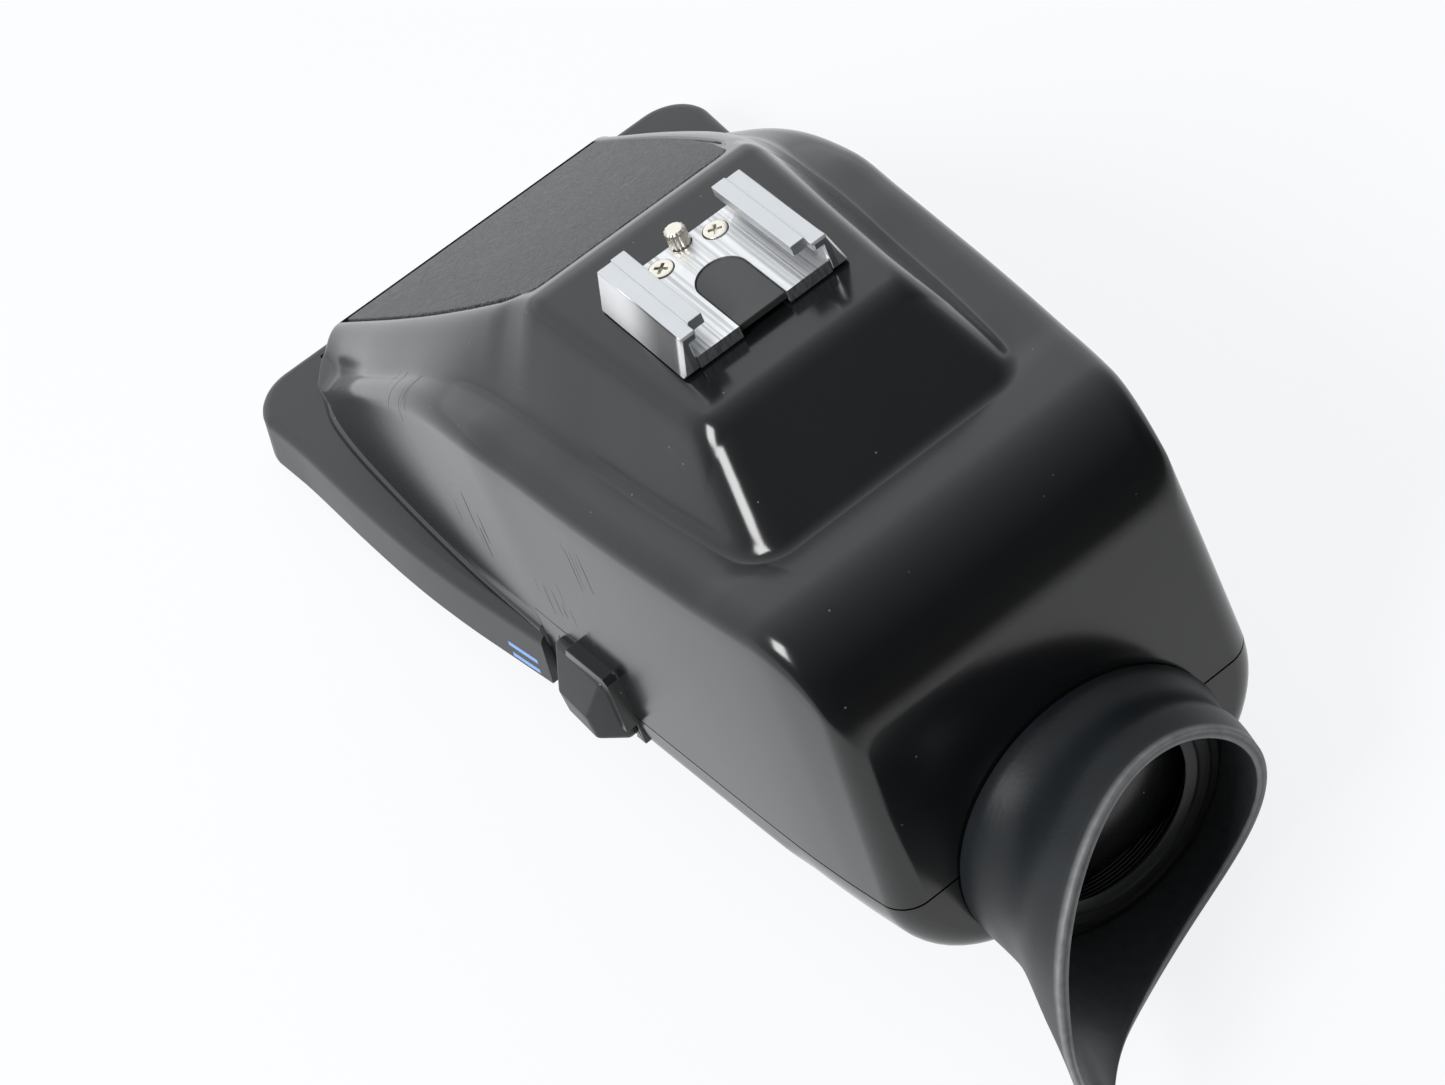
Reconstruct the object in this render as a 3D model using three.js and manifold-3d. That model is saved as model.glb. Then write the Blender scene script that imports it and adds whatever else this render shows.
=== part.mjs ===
// Prism viewfinder for a medium format camera, in millimetres
// The origin is on the face that sits on the camera, +Y points to the lens and +Z points up

import * as THREE from 'three';
import { ConvexGeometry } from 'three/addons/geometries/ConvexGeometry.js';
import { mergeVertices } from 'three/addons/utils/BufferGeometryUtils.js';
import Module from 'manifold-3d';

const wasm = await Module();
wasm.setup();

// Fits that every piece shares
const GAP = 0.3;
const OVERRUN = 6;
const MERGE_DISTANCE = 0.0005;

// Upper cover, lengths along Y measured from the origin
const COVER_WALL = 2.2;
const REAR_FACE = 104.5;
const COVER_FRONT = 34.5;
const SEAM_HEIGHT = 5.6;
const BASE_WIDTH = 66.8;
const SHOULDER_SET_IN = 3.1;
const SHOULDER_HEIGHT = 48;
const SHOULDER_ROUND = 4;
const WALL_CORNER_ROUND = 5;
const REAR_TOP_ROUND = 10;
const SIDE_DRAFT = 0.075;

// Hump that carries the accessory shoe, and the slope in front of it
const PLATEAU_HEIGHT = 58;
const PLATEAU_REAR = 75.8;
const RIDGE = 41.4;
const HUMP_TAIL = 11.9;
const HUMP_FOOT_HEIGHT = 46.7;
const HUMP_ROUND = 3;
const SLOPE_FOOT_HEIGHT = 11.67;

// Leatherette on the front slope
const LEATHER_THICKNESS = 0.8;
const LEATHER_POCKET = 1.0;
const LEATHER_MARGIN = 0.6;
const LEATHER_CORNER = 2.4;

// Mount frame, whose underside sits on the camera
const FRAME_HEIGHT = 8;
const FRAME_FRONT = 37.8;
const FRAME_REAR = 35.5;
const FRAME_LEDGE = 5.3;
const FRAME_CORNER = 6.8;
const FRAME_EDGE_ROUND = 1.2;
const FRAME_DRAFT = 0.12;
const OPENING_MARGIN = 8.4;
const OPENING_LENGTH = 40;
const OPENING_REAR = 27;
const OPENING_CORNER = 2;

// Window, mask and seal in the screen opening
const WINDOW_THICKNESS = 1.5;
const WINDOW_SEAT = 1.6;
const MASK_THICKNESS = 0.5;
const MASK_OVERLAP = 2;
const SEAL_THICKNESS = 0.9;
const SEAL_WIDTH = 1.7;

// Screws that hold the cover, and the bosses they bite into
const FRAME_SCREW_SET_IN = 4.2;
const FRAME_SCREW_REAR = 22;
const FRAME_SCREW_FRONT = 17;
const SHELL_SCREW_SET_IN = 10.8;
const SHELL_SCREW_PLACE = 78;
const SCREW_SHANK = 1.9;
const SCREW_HEAD = 3.8;
const SCREW_HEAD_THICKNESS = 1.2;
const FRAME_SCREW_LENGTH = 10;
const SHELL_SCREW_LENGTH = 13;
const BOSS_DIAMETER = 5.4;
const BOSS_RIB = 1.4;
const CROSS_SLOT_WIDTH = 0.5;
const CROSS_SLOT_DEPTH = 0.6;

// Lower shell behind the mount frame
const SHELL_WALL = 2;
const SHELL_DEPTH = 2.6;
const SHELL_EDGE_ROUND = 5;
const SUMP_LENGTH = 21.5;
const SUMP_CORNER = 16.7;
const SUMP_CORNER_SPACING = 17.4;
const SUMP_CORNER_HEIGHT = 4.8;
const SUMP_END_ROUND = 3;
const COLLAR_DIAMETER = 39.6;
const COLLAR_STAND = 1.5;

// Eyepiece, on an axis along Y
const EYE_AXIS_HEIGHT = 0.8;
const BARREL_SET_IN = 4.5;
const BARREL_WALL = 1.8;
const BARREL_LENGTH = 19;
const BARREL_SEAT_WIDTH = 1.2;
const BARREL_SEAT_THICKNESS = 1.2;
const BARREL_FLANGE_WIDTH = 1.7;
const BARREL_FLANGE_THICKNESS = 1.1;
const BARREL_STAND = 0.2;
const BEZEL_THICKNESS = 0.9;
const BEZEL_STEP = 0.3;
const BEZEL_RIM = 0.8;
const BEZEL_OVERHANG = 1.5;
const LENS_PLAY = 0.25;
const LENS_RIM = 2.25;
const FIELD_LENS_EDGE = 3;
const FIELD_LENS_BULGE = 1;
const EYE_LENS_EDGE = 3.4;
const EYE_LENS_BULGE = 1.5;
const SPACER_LENGTH = 4;
const SPACER_WALL = 1;
const RETAINER_THICKNESS = 2;
const RETAINER_WALL = 2.5;

// Rubber eyecup
const CUP_SET_IN = 1;
const CUP_WALL = 1.5;
const CUP_SPIGOT_STEP = 0.9;
const CUP_BEAD_WIDTH = 1.1;
const CUP_POCKET_DEPTH = 2.6;
const CUP_RIM_THICKNESS = 2.3;
const CUP_RIM_HEIGHT = 11.6;
const CUP_RIM_SET_IN = 0.6;
const CUP_RIM_SHIFT = 0.6;
const CUP_WAIST = 0.5;
const CUP_LEAN = 4.6;
const CUP_WING_HEIGHT = 11.5;
const CUP_FLARE = 7.4;
const CUP_LEAN_ANGLE = THREE.MathUtils.degToRad(165);
const CUP_SHIFT_ANGLE = THREE.MathUtils.degToRad(150);
const CUP_WING_ANGLE = THREE.MathUtils.degToRad(-162);
const CUP_TIP_SPREAD = [6, 11].map(THREE.MathUtils.degToRad);
const CUP_FLARE_SPREAD = [8, 22].map(THREE.MathUtils.degToRad);

// Accessory shoe
const SHOE_LENGTH = 17.8;
const SHOE_REAR = 68.5;
const SHOE_BASE_WIDTH = 23.2;
const SHOE_TOP_WIDTH = 20.4;
const SHOE_CHANNEL_WIDTH = 18.6;
const SHOE_LIP_GAP = 12.5;
const SHOE_BASE_THICKNESS = 1.7;
const SHOE_CHANNEL_HEIGHT = 2.1;
const SHOE_RAIL_HEIGHT = 3.3;
const SHOE_LIP_HEIGHT = 3.58;
const SHOE_LIP_STEP = 1.1;
const SHOE_LIP_SETBACK = 1.5;
const SHOE_LIP_SIDE_SETBACK = 0.6;
const SHOE_EDGE_CUT = 0.4;
const INSERT_WIDTH = 6;
const INSERT_LENGTH = 11.3;
const INSERT_THICKNESS = 0.7;
const INSERT_REAR_LIP = 0.5;
const PIN_SETBACK = 0.5;
const PIN_DIAMETER = 2.5;
const PIN_HEIGHT = 2.3;
const PIN_FLUTES = 14;
const PIN_FLUTE_DEPTH = 0.12;
const SHOE_SCREW_SPACING = 7.8;
const SHOE_SCREW_SETBACK = 2.2;
const SHOE_SCREW_HEAD = 2.6;
const SHOE_SCREW_SHANK = 1.3;
const SHOE_SCREW_HEAD_THICKNESS = 0.7;
const BACKING_THICKNESS = 1.2;
const BACKING_WIDTH = 16;
const BACKING_LENGTH = 14;

// Prism and what holds it
const PRISM_SET_IN = 0.5;
const PRISM_EXIT = 68;
const PRISM_EXIT_HEIGHT = 27;
const PRISM_STEP_FRONT = 40;
const PRISM_STEP_REAR = 52;
const PRISM_RIDGE_DROP = 8;
const PRISM_CLEARANCE = 6.4;
const CRADLE_THICKNESS = 1.2;
const CRADLE_SIDE_LEDGE = 1.9;
const CRADLE_REAR_LEDGE = 1;
const CRADLE_FRONT_LEDGE = 3;
const CHEEK_REAR = 17;
const CHEEK_FRONT = -2;
const PAD_THICKNESS = 0.6;
const STRAP_THICKNESS = 0.6;
const STRAP_REAR = 17;
const STRAP_FRONT = 10;
const STRAP_LEG = 7;
const STRAP_SCREW_HEAD = 3;
const STRAP_SCREW_SHANK = 1.4;
const STRAP_SCREW_HEAD_THICKNESS = 0.6;

// Camera lock: push button, lever, pin and spring
const BUTTON_PLACE = 46.3;
const BUTTON_LENGTH = 11.4;
const BUTTON_HEIGHT = 11;
const BUTTON_MIDDLE_HEIGHT = 5.8;
const BUTTON_STAND = 4;
const BUTTON_SLANT_DROP = 4.6;
const BUTTON_SLANT_DEPTH = 2.6;
const BUTTON_END_TAPER = 1.7;
const BUTTON_ROUND = 1;
const BUTTON_TRAVEL = 1.6;
const BUTTON_EAR = 1;
const BUTTON_EAR_THICKNESS = 0.8;
const BUTTON_NOSE_HEIGHT = 3.2;
const BUTTON_NOSE_WIDTH = 3.4;
const BUTTON_NOSE_THICKNESS = 1.6;
const GUARD_FRONT = 36.3;
const GUARD_REAR = 54;
const GUARD_TOP = 13.3;
const GUARD_FOOT = 0.4;
const GUARD_RIB = 1.6;
const GUARD_RIB_LENGTH = 9.4;
const GUARD_STAND = 1.6;
const GUARD_REAR_DROP = 9.2;
const LEVER_SET_IN = 4.44;
const LEVER_AXIS_Z = 10;
const LEVER_TUBE = 3;
const LEVER_TUBE_REAR = 37.6;
const LEVER_TUBE_FRONT = 30.3;
const LEVER_THICKNESS = 1.8;
const LEVER_ARM_WIDTH = 1.6;
const LEVER_FINGER_REAR = 47;
const LEVER_FINGER_WIDTH = 3.6;
const LEVER_PIN = 1.6;
const HOOK_FRONT = 30.6;
const HOOK_REAR = 33.1;
const HOOK_DROP = 2.6;
const HOOK_TOOTH = 1.4;
const HOOK_TOOTH_HEIGHT = 1.2;
const LUG_THICKNESS = 1.2;
const LUG_WIDTH = 3.2;
const LUG_HEIGHT = 12;
const SPRING_DIAMETER = 3.4;
const SPRING_WIRE = 0.45;
const SPRING_TURNS = 4;
const SPRING_LENGTH = 3.6;
const SPRING_HEIGHT = 8.2;
const SPRING_SETBACK = 3;
const SPRING_POST = 1.6;
const SPRING_POST_LENGTH = 0.9;
const SPRING_LUG = 1.3;

// Materials
const glossBlack = () => new THREE.MeshStandardMaterial({ color: 0x0e0f10, roughness: 0.22, metalness: 0 });
const satinBlack = () => new THREE.MeshStandardMaterial({ color: 0x16181a, roughness: 0.45, metalness: 0 });
const castBlack = () => new THREE.MeshStandardMaterial({ color: 0x121314, roughness: 0.35, metalness: 0.2 });
const mattBlack = () => new THREE.MeshStandardMaterial({ color: 0x0a0a0b, roughness: 0.9, metalness: 0 });
const rubber = () => new THREE.MeshStandardMaterial({ color: 0x1d2225, roughness: 0.75, metalness: 0 });
const leather = () => new THREE.MeshStandardMaterial({ color: 0x2b2d2e, roughness: 0.7, metalness: 0 });
const aluminium = () => new THREE.MeshStandardMaterial({ color: 0xd2d3d6, roughness: 0.38, metalness: 1 });
const nickel = () => new THREE.MeshStandardMaterial({ color: 0xb9b3a6, roughness: 0.28, metalness: 1 });
const springSteel = () => new THREE.MeshStandardMaterial({ color: 0x8d9094, roughness: 0.35, metalness: 1 });
const glass = () => new THREE.MeshStandardMaterial({ color: 0xdfe8ea, roughness: 0.03, metalness: 0 });
const foam = () => new THREE.MeshStandardMaterial({ color: 0x101010, roughness: 1, metalness: 0 });

const finder = new THREE.Group();

// Solids from geometry, and meshes from solids

function solid(geometry) {
  const bare = geometry.clone();
  bare.deleteAttribute('normal');
  bare.deleteAttribute('uv');
  const merged = mergeVertices(bare, MERGE_DISTANCE);
  return new wasm.Manifold(new wasm.Mesh({
    numProp: 3,
    vertProperties: new Float32Array(merged.attributes.position.array),
    triVerts: new Uint32Array(merged.index.array),
  }));
}

function addPiece(name, piece, material) {
  const { vertProperties, triVerts } = piece.getMesh();
  const geometry = new THREE.BufferGeometry();
  geometry.setAttribute('position', new THREE.BufferAttribute(vertProperties, 3));
  geometry.setIndex(new THREE.BufferAttribute(triVerts, 1));
  geometry.computeVertexNormals();
  const mesh = new THREE.Mesh(geometry, material);
  mesh.name = name;
  finder.add(mesh);
}

function joined(pieces) {
  return pieces.reduce((whole, piece) => whole.add(piece));
}

function block(xSpan, ySpan, zSpan) {
  const size = [xSpan, ySpan, zSpan].map(([low, high]) => high - low);
  const geometry = new THREE.BoxGeometry(...size);
  geometry.translate(...[xSpan, ySpan, zSpan].map(([low, high]) => (low + high) / 2));
  return solid(geometry);
}

// A solid turned about an axis along +Y through (0, EYE_AXIS_HEIGHT), from [radius, y] points
function turnedOnEyeAxis(profile, segments = 56) {
  const geometry = new THREE.LatheGeometry(profile.map(([r, y]) => new THREE.Vector2(r, y)), segments);
  geometry.translate(0, 0, EYE_AXIS_HEIGHT);
  return solid(geometry);
}

function turnedUpright(profile, x, y, segments = 24) {
  const geometry = new THREE.LatheGeometry(profile.map(([r, z]) => new THREE.Vector2(r, z)), segments);
  geometry.rotateX(Math.PI / 2);
  geometry.translate(x, y, 0);
  return solid(geometry);
}

// A rectangle with round corners as a shape in its own plane
function roundedRectangle(width, height, corner, centreX = 0, centreY = 0) {
  const [x, y] = [width / 2, height / 2];
  const shape = new THREE.Shape();
  const quarters = [[1, 1, 0], [-1, 1, 1], [-1, -1, 2], [1, -1, 3]];
  for (const [sideX, sideY, quarter] of quarters) {
    const start = quarter * Math.PI / 2;
    const centre = [centreX + sideX * (x - corner), centreY + sideY * (y - corner)];
    shape.absarc(...centre, corner, start, start + Math.PI / 2);
  }
  shape.closePath();
  return shape;
}

function slab(shape, zLow, zHigh, curveSegments = 3) {
  const settings = { depth: zHigh - zLow, bevelEnabled: false, curveSegments };
  const geometry = new THREE.ExtrudeGeometry(shape, settings);
  geometry.translate(0, 0, zLow);
  return solid(geometry);
}

// A profile in the Y-Z plane pushed along X
function slabAcross(points, xLow, xHigh) {
  const shape = new THREE.Shape(points.map(([y, z]) => new THREE.Vector2(y, z)));
  const geometry = new THREE.ExtrudeGeometry(shape, { depth: xHigh - xLow, bevelEnabled: false });
  geometry.applyMatrix4(new THREE.Matrix4().set(0, 0, 1, xLow, 1, 0, 0, 0, 0, 1, 0, 0, 0, 0, 0, 1));
  return solid(geometry);
}

// A profile in the X-Z plane pushed along Y
function slabAlong(shape, yLow, yHigh, options = {}) {
  const settings = { depth: yHigh - yLow, bevelEnabled: false, curveSegments: 6, ...options };
  const geometry = new THREE.ExtrudeGeometry(shape, settings);
  geometry.applyMatrix4(new THREE.Matrix4().set(1, 0, 0, 0, 0, 0, -1, yHigh, 0, 1, 0, 0, 0, 0, 0, 1));
  return solid(geometry);
}

// Rounded hulls: the tightest skin round balls that stand at the corners of a form

const ballDirections = [];
for (let step = -4; step <= 4; step += 1) {
  const rise = step * Math.PI / 8;
  const turns = Math.abs(step) === 4 ? 1 : 16;
  for (let turn = 0; turn < turns; turn += 1) {
    const heading = turn * 2 * Math.PI / turns;
    const flat = Math.cos(rise);
    const [x, y] = [flat * Math.cos(heading), flat * Math.sin(heading)];
    ballDirections.push(new THREE.Vector3(x, y, Math.sin(rise)));
  }
}

function ball([x, y, z], radius, stretch = [1, 1, 1]) {
  const scale = new THREE.Vector3(...stretch).multiplyScalar(radius);
  return ballDirections.map((way) => way.clone().multiply(scale).add(new THREE.Vector3(x, y, z)));
}

function disc([x, y, z], radius, segments = 24) {
  return Array.from({ length: segments }, (_, index) => {
    const heading = index * 2 * Math.PI / segments;
    return new THREE.Vector3(x + radius * Math.cos(heading), y + radius * Math.sin(heading), z);
  });
}

function bothSides(points) {
  return points.concat(points.map(({ x, y, z }) => new THREE.Vector3(-x, y, z)));
}

function hull(points) {
  return solid(new ConvexGeometry(points));
}

// Upper cover: shoulder body and hump, each a rounded hull, drawn in by a wall for the inside

const coverLength = REAR_FACE + COVER_FRONT;
const shoulderWidth = BASE_WIDTH - 2 * SHOULDER_SET_IN;
const ridgeWidthShare = 0.47;
const slopeFrontWidthShare = 0.668;
const creaseFrontWidthShare = 0.794;
const ridgeWidth = ridgeWidthShare * BASE_WIDTH;
const slopeFrontWidth = slopeFrontWidthShare * BASE_WIDTH;
const creaseFrontWidth = creaseFrontWidthShare * BASE_WIDTH;
const seamTop = SEAM_HEIGHT + GAP / 2;
const seamBottom = SEAM_HEIGHT - GAP / 2;
const coverFootOnFrame = FRAME_HEIGHT + GAP;
const collarRear = REAR_FACE + COLLAR_STAND;
const sumpFront = REAR_FACE - SUMP_LENGTH;

// Shares of the cover's length, base width, shoulder width and shoulder height
const wallShares = [
  [0.130, 0.853, 0.872, 0.988],
  [0.273, 0.903, 0.934, 0.964],
  [0.421, 0.948, 0.980, 0.935],
  [0.493, 0.965, 1.000, 0.916],
  [0.629, 0.994, 0.994, 0.780],
  [0.820, 1.000, 0.977, 0.440],
  [0.930, 0.990, 0.950, 0.215],
  [0.956, 0.985, 0.945, 0.180],
];
const rearBaseShare = 0.792;
const rearShoulderShare = 0.835;
const frontNoseShare = 0.874;

function alongCover(share) {
  return -REAR_FACE + share * coverLength;
}

// The cover's half width at its base, between the stations on each side of a place along Y
function baseHalfAt(y) {
  const next = wallShares.findIndex(([along]) => alongCover(along) > y);
  const [[low, from], [high, to]] = [wallShares[next - 1], wallShares[next]];
  const part = (y - alongCover(low)) / (alongCover(high) - alongCover(low));
  return (from + part * (to - from)) * BASE_WIDTH / 2;
}

function shoulderBody(inset) {
  const points = [];
  const footLevel = seamTop - OVERRUN;
  const spread = OVERRUN * SIDE_DRAFT;
  const cornerRadius = WALL_CORNER_ROUND - inset;
  const edgeRadius = SHOULDER_ROUND - inset;
  const rearX = rearBaseShare * BASE_WIDTH / 2 + spread - WALL_CORNER_ROUND;
  points.push(...disc([rearX, -REAR_FACE + WALL_CORNER_ROUND, footLevel], cornerRadius));
  const rearTop = [
    rearShoulderShare * shoulderWidth / 2 - SHOULDER_ROUND,
    -REAR_FACE + REAR_TOP_ROUND,
    SHOULDER_HEIGHT - REAR_TOP_ROUND,
  ];
  const topRadius = REAR_TOP_ROUND - inset;
  points.push(...ball(rearTop, topRadius, [edgeRadius / topRadius, 1, 1]));
  for (const [along, base, shoulder, height] of wallShares) {
    const y = alongCover(along);
    points.push(...disc([base * BASE_WIDTH / 2 + spread - SHOULDER_ROUND, y, footLevel], edgeRadius));
    const x = shoulder * shoulderWidth / 2 - SHOULDER_ROUND;
    points.push(...ball([x, y, height * SHOULDER_HEIGHT - SHOULDER_ROUND], edgeRadius));
  }
  const noseX = frontNoseShare * BASE_WIDTH / 2 - SHOULDER_ROUND;
  points.push(...disc([noseX, COVER_FRONT - SHOULDER_ROUND, footLevel], edgeRadius));
  points.push(...disc([noseX, COVER_FRONT - SHOULDER_ROUND, coverFootOnFrame + GAP - inset], edgeRadius));
  return hull(bothSides(points));
}

const slopeRun = RIDGE + COVER_FRONT;
const frontSlope = Math.atan2(PLATEAU_HEIGHT - SLOPE_FOOT_HEIGHT, slopeRun);
const slopeNormal = { y: Math.sin(frontSlope), z: Math.cos(frontSlope) };

function slopeHeight(y) {
  return PLATEAU_HEIGHT - (y + RIDGE) * Math.tan(frontSlope);
}

// Shares of the run from ridge to front, and of the growth in width over that run
const slopeEdgeShares = [[0, 0], [0.34, 0.52], [0.60, 0.80], [1, 1]];
const creaseShares = [[0.335, 0.97], [0.677, 1], [1, 1]];
const creaseDropShare = 0.115;
// Shares of the run from foot to ridge, of the width at the front and of the foot's height
const creaseBehindShares = [[0.086, 0.728, 0.985], [0.447, 0.804, 0.974], [0.868, 0.868, 0.959]];
const plateauRearShare = 0.905;
const humpFootShare = 0.619;
// Shares of the round's radius that place a ball's centre under its edge
const ballSideShare = 0.57;
const ballRearShare = 0.4;
const ballRidgeShare = 0.28;
const creaseSinkShare = 1.2;
const creaseBehindSinkShare = 1.05;
const creaseBehindSideShare = 0.6;
const footSinkShare = 1.4;

const humpFoot = PLATEAU_REAR + HUMP_TAIL;

function humpBody(inset) {
  const radius = HUMP_ROUND - inset;
  const points = [];
  const sideStep = ballSideShare * HUMP_ROUND;
  const plateauX = plateauRearShare * ridgeWidth / 2 - sideStep;
  const top = PLATEAU_HEIGHT - HUMP_ROUND;
  points.push(...ball([plateauX, -PLATEAU_REAR + ballRearShare * HUMP_ROUND, top], radius));
  for (const [along, growth] of slopeEdgeShares) {
    const y = -RIDGE + along * slopeRun;
    const halfWidth = (ridgeWidth + growth * (slopeFrontWidth - ridgeWidth)) / 2;
    const centre = [
      halfWidth - sideStep,
      y - HUMP_ROUND * slopeNormal.y,
      slopeHeight(y) - HUMP_ROUND * slopeNormal.z,
    ];
    if (along === 0) {
      centre[1] = y - ballRidgeShare * HUMP_ROUND;
      centre[2] = top;
    }
    if (along === 1) {
      centre[1] = COVER_FRONT - HUMP_ROUND;
      centre[2] = slopeHeight(centre[1]) - HUMP_ROUND / slopeNormal.z;
    }
    points.push(...ball(centre, radius));
  }
  const creaseHalf = creaseFrontWidth / 2;
  for (const [along, width] of creaseShares) {
    const y = Math.min(-RIDGE + along * slopeRun, COVER_FRONT - HUMP_ROUND);
    const z = slopeHeight(y) - creaseDropShare * SHOULDER_HEIGHT - creaseSinkShare * HUMP_ROUND;
    points.push(...ball([width * creaseHalf, y, z], radius));
  }
  for (const [along, width, height] of creaseBehindShares) {
    const y = -humpFoot + along * (humpFoot - RIDGE);
    const z = height * HUMP_FOOT_HEIGHT - creaseBehindSinkShare * HUMP_ROUND;
    points.push(...ball([width * creaseHalf - creaseBehindSideShare * HUMP_ROUND, y, z], radius));
  }
  const footLevel = HUMP_FOOT_HEIGHT - footSinkShare * HUMP_ROUND;
  points.push(...ball([humpFootShare * creaseHalf, -humpFoot, footLevel], radius));
  return hull(bothSides(points));
}

function coverForm(inset) {
  return shoulderBody(inset).add(humpBody(inset));
}

const coverOutside = coverForm(0);
const coverInside = coverForm(COVER_WALL);

// Everything below the cover's foot: the seam behind, the frame's top in front
const faraway = REAR_FACE * 2;
const deep = -REAR_FACE;

function everythingBelow(level, rear, front) {
  return block([-faraway, faraway], [rear, front], [deep, level]);
}

const belowFoot = everythingBelow(seamTop, -faraway, -FRAME_REAR)
  .add(everythingBelow(coverFootOnFrame, -FRAME_REAR - GAP, faraway));

function upright(diameter, x, y, zLow, zHigh, segments = 18) {
  return turnedUpright([[0, zLow], [diameter / 2, zLow], [diameter / 2, zHigh], [0, zHigh]], x, y, segments);
}

// A round bar along X between two distances from the middle plane
function sideways(diameter, xLow, xHigh, y, z, segments = 20) {
  const geometry = new THREE.CylinderGeometry(diameter / 2, diameter / 2, xHigh - xLow, segments);
  geometry.rotateZ(Math.PI / 2);
  geometry.translate((xLow + xHigh) / 2, y, z);
  return solid(geometry);
}

// A round bar along Y
function lengthwise(diameter, yLow, yHigh, x, z, segments = 20) {
  const geometry = new THREE.CylinderGeometry(diameter / 2, diameter / 2, yHigh - yLow, segments);
  geometry.translate(x, (yLow + yHigh) / 2, z);
  return solid(geometry);
}

// Screws of the case: name, x, y, level of the head's seat, length, foot of the boss they bite into
const frameScrewX = BASE_WIDTH / 2 - FRAME_SCREW_SET_IN;
const shellScrewX = BASE_WIDTH / 2 - SHELL_SCREW_SET_IN;
const headRecess = SCREW_HEAD_THICKNESS + GAP;
const screwSides = [['left', -1], ['right', 1]];
const frameFixing = [headRecess, FRAME_SCREW_LENGTH, coverFootOnFrame];
const shellFixing = [headRecess - SHELL_DEPTH, SHELL_SCREW_LENGTH, seamTop];
const caseScrews = screwSides.flatMap(([side, way]) => [
  [`frame_screw_front_${side}`, way * frameScrewX, FRAME_SCREW_FRONT, ...frameFixing],
  [`frame_screw_rear_${side}`, way * frameScrewX, -FRAME_SCREW_REAR, ...frameFixing],
  [`shell_screw_${side}`, way * shellScrewX, -SHELL_SCREW_PLACE, ...shellFixing],
]);
const shellScrews = caseScrews.filter(([name]) => name.startsWith('shell'));
const frameScrews = caseScrews.filter(([name]) => name.startsWith('frame'));

function screwHole([, x, y, seat, length]) {
  const shank = upright(SCREW_SHANK + 2 * GAP, x, y, seat - OVERRUN, seat + length + GAP);
  return shank.add(upright(SCREW_HEAD + 2 * GAP, x, y, seat - OVERRUN, seat));
}

// Shares of a screw's head and shank: the flat of the head, the reach of the cross cut, the tip
const headFlatShare = 0.4;
const crossReachShare = 0.3;
const tipShare = 0.2;
const screwFacets = 12;

// A pan head with a cross cut in it, turned over so that the head looks down
function screwUp(x, y, seat, length, head, headThickness, shank) {
  const turned = turnedUpright([
    [0, seat - headThickness],
    [head * headFlatShare, seat - headThickness],
    [head / 2, seat - headThickness / 2],
    [head / 2, seat - GAP / 2],
    [shank / 2, seat - GAP / 2],
    [shank / 2, seat + length - shank / 2],
    [shank * tipShare, seat + length],
    [0, seat + length],
  ], x, y, screwFacets);
  const reach = head * crossReachShare;
  const cutLevel = [seat - headThickness - OVERRUN, seat - headThickness + CROSS_SLOT_DEPTH];
  const slot = CROSS_SLOT_WIDTH / 2;
  return turned
    .subtract(block([x - reach, x + reach], [y - slot, y + slot], cutLevel))
    .subtract(block([x - slot, x + slot], [y - reach, y + reach], cutLevel));
}

// A boss for each screw, tied to the nearest side wall by a rib
function coverBoss([, x, y, seat, length, foot]) {
  const top = seat + length + COVER_WALL;
  const rib = BOSS_RIB / 2;
  const wallSide = Math.sign(x) * BASE_WIDTH / 2;
  const ribSpan = [Math.min(x, wallSide), Math.max(x, wallSide)];
  const boss = upright(BOSS_DIAMETER, x, y, foot, top);
  return boss.add(block(ribSpan, [y - rib, y + rib], [foot, top])).intersect(coverOutside);
}

for (const [name, x, y, seat, length] of caseScrews) {
  addPiece(name, screwUp(x, y, seat, length, SCREW_HEAD, SCREW_HEAD_THICKNESS, SCREW_SHANK), nickel());
}
const screwHoles = joined(caseScrews.map(screwHole));
const coverBosses = joined(caseScrews.map(coverBoss));

// Leatherette: its outline lies in the slope's own plane, width across and run down the slope
const widthAt = (growth) => ridgeWidth + growth * (slopeFrontWidth - ridgeWidth);
const leatherBulgeShare = 0.807;

function leatherOutline(margin, corner) {
  const run = slopeRun / slopeNormal.z;
  const start = -HUMP_ROUND - margin;
  const end = margin + GAP - run + HUMP_ROUND;
  const top = widthAt(0) / 2 - margin;
  const bottom = widthAt(1) / 2 - margin;
  const bulge = widthAt(leatherBulgeShare) / 2 - margin;
  const bulgeRun = start + slopeEdgeShares[1][0] * (end - start);
  const shape = new THREE.Shape();
  shape.moveTo(corner - top, start);
  shape.quadraticCurveTo(-top, start, -top, start - corner);
  shape.quadraticCurveTo(-bulge, bulgeRun, -bottom, end);
  shape.lineTo(bottom, end);
  shape.quadraticCurveTo(bulge, bulgeRun, top, start - corner);
  shape.quadraticCurveTo(top, start, top - corner, start);
  shape.closePath();
  return shape;
}

// The outline's second axis runs up the slope, so the front end lies at negative run
function onSlope(shape, low, high) {
  const settings = { depth: high - low, bevelEnabled: false, curveSegments: 6 };
  const geometry = new THREE.ExtrudeGeometry(shape, settings);
  geometry.translate(0, 0, low);
  geometry.rotateZ(Math.PI);
  geometry.rotateX(-frontSlope);
  geometry.translate(0, -RIDGE, PLATEAU_HEIGHT);
  return solid(geometry);
}

const leatherBack = GAP - LEATHER_POCKET;
const leatherSheet = leatherOutline(LEATHER_MARGIN + GAP, LEATHER_CORNER);
addPiece('leatherette_panel', onSlope(leatherSheet, leatherBack, leatherBack + LEATHER_THICKNESS), leather());
const leatherPocket = onSlope(leatherOutline(LEATHER_MARGIN, LEATHER_CORNER), -LEATHER_POCKET, OVERRUN);

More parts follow.
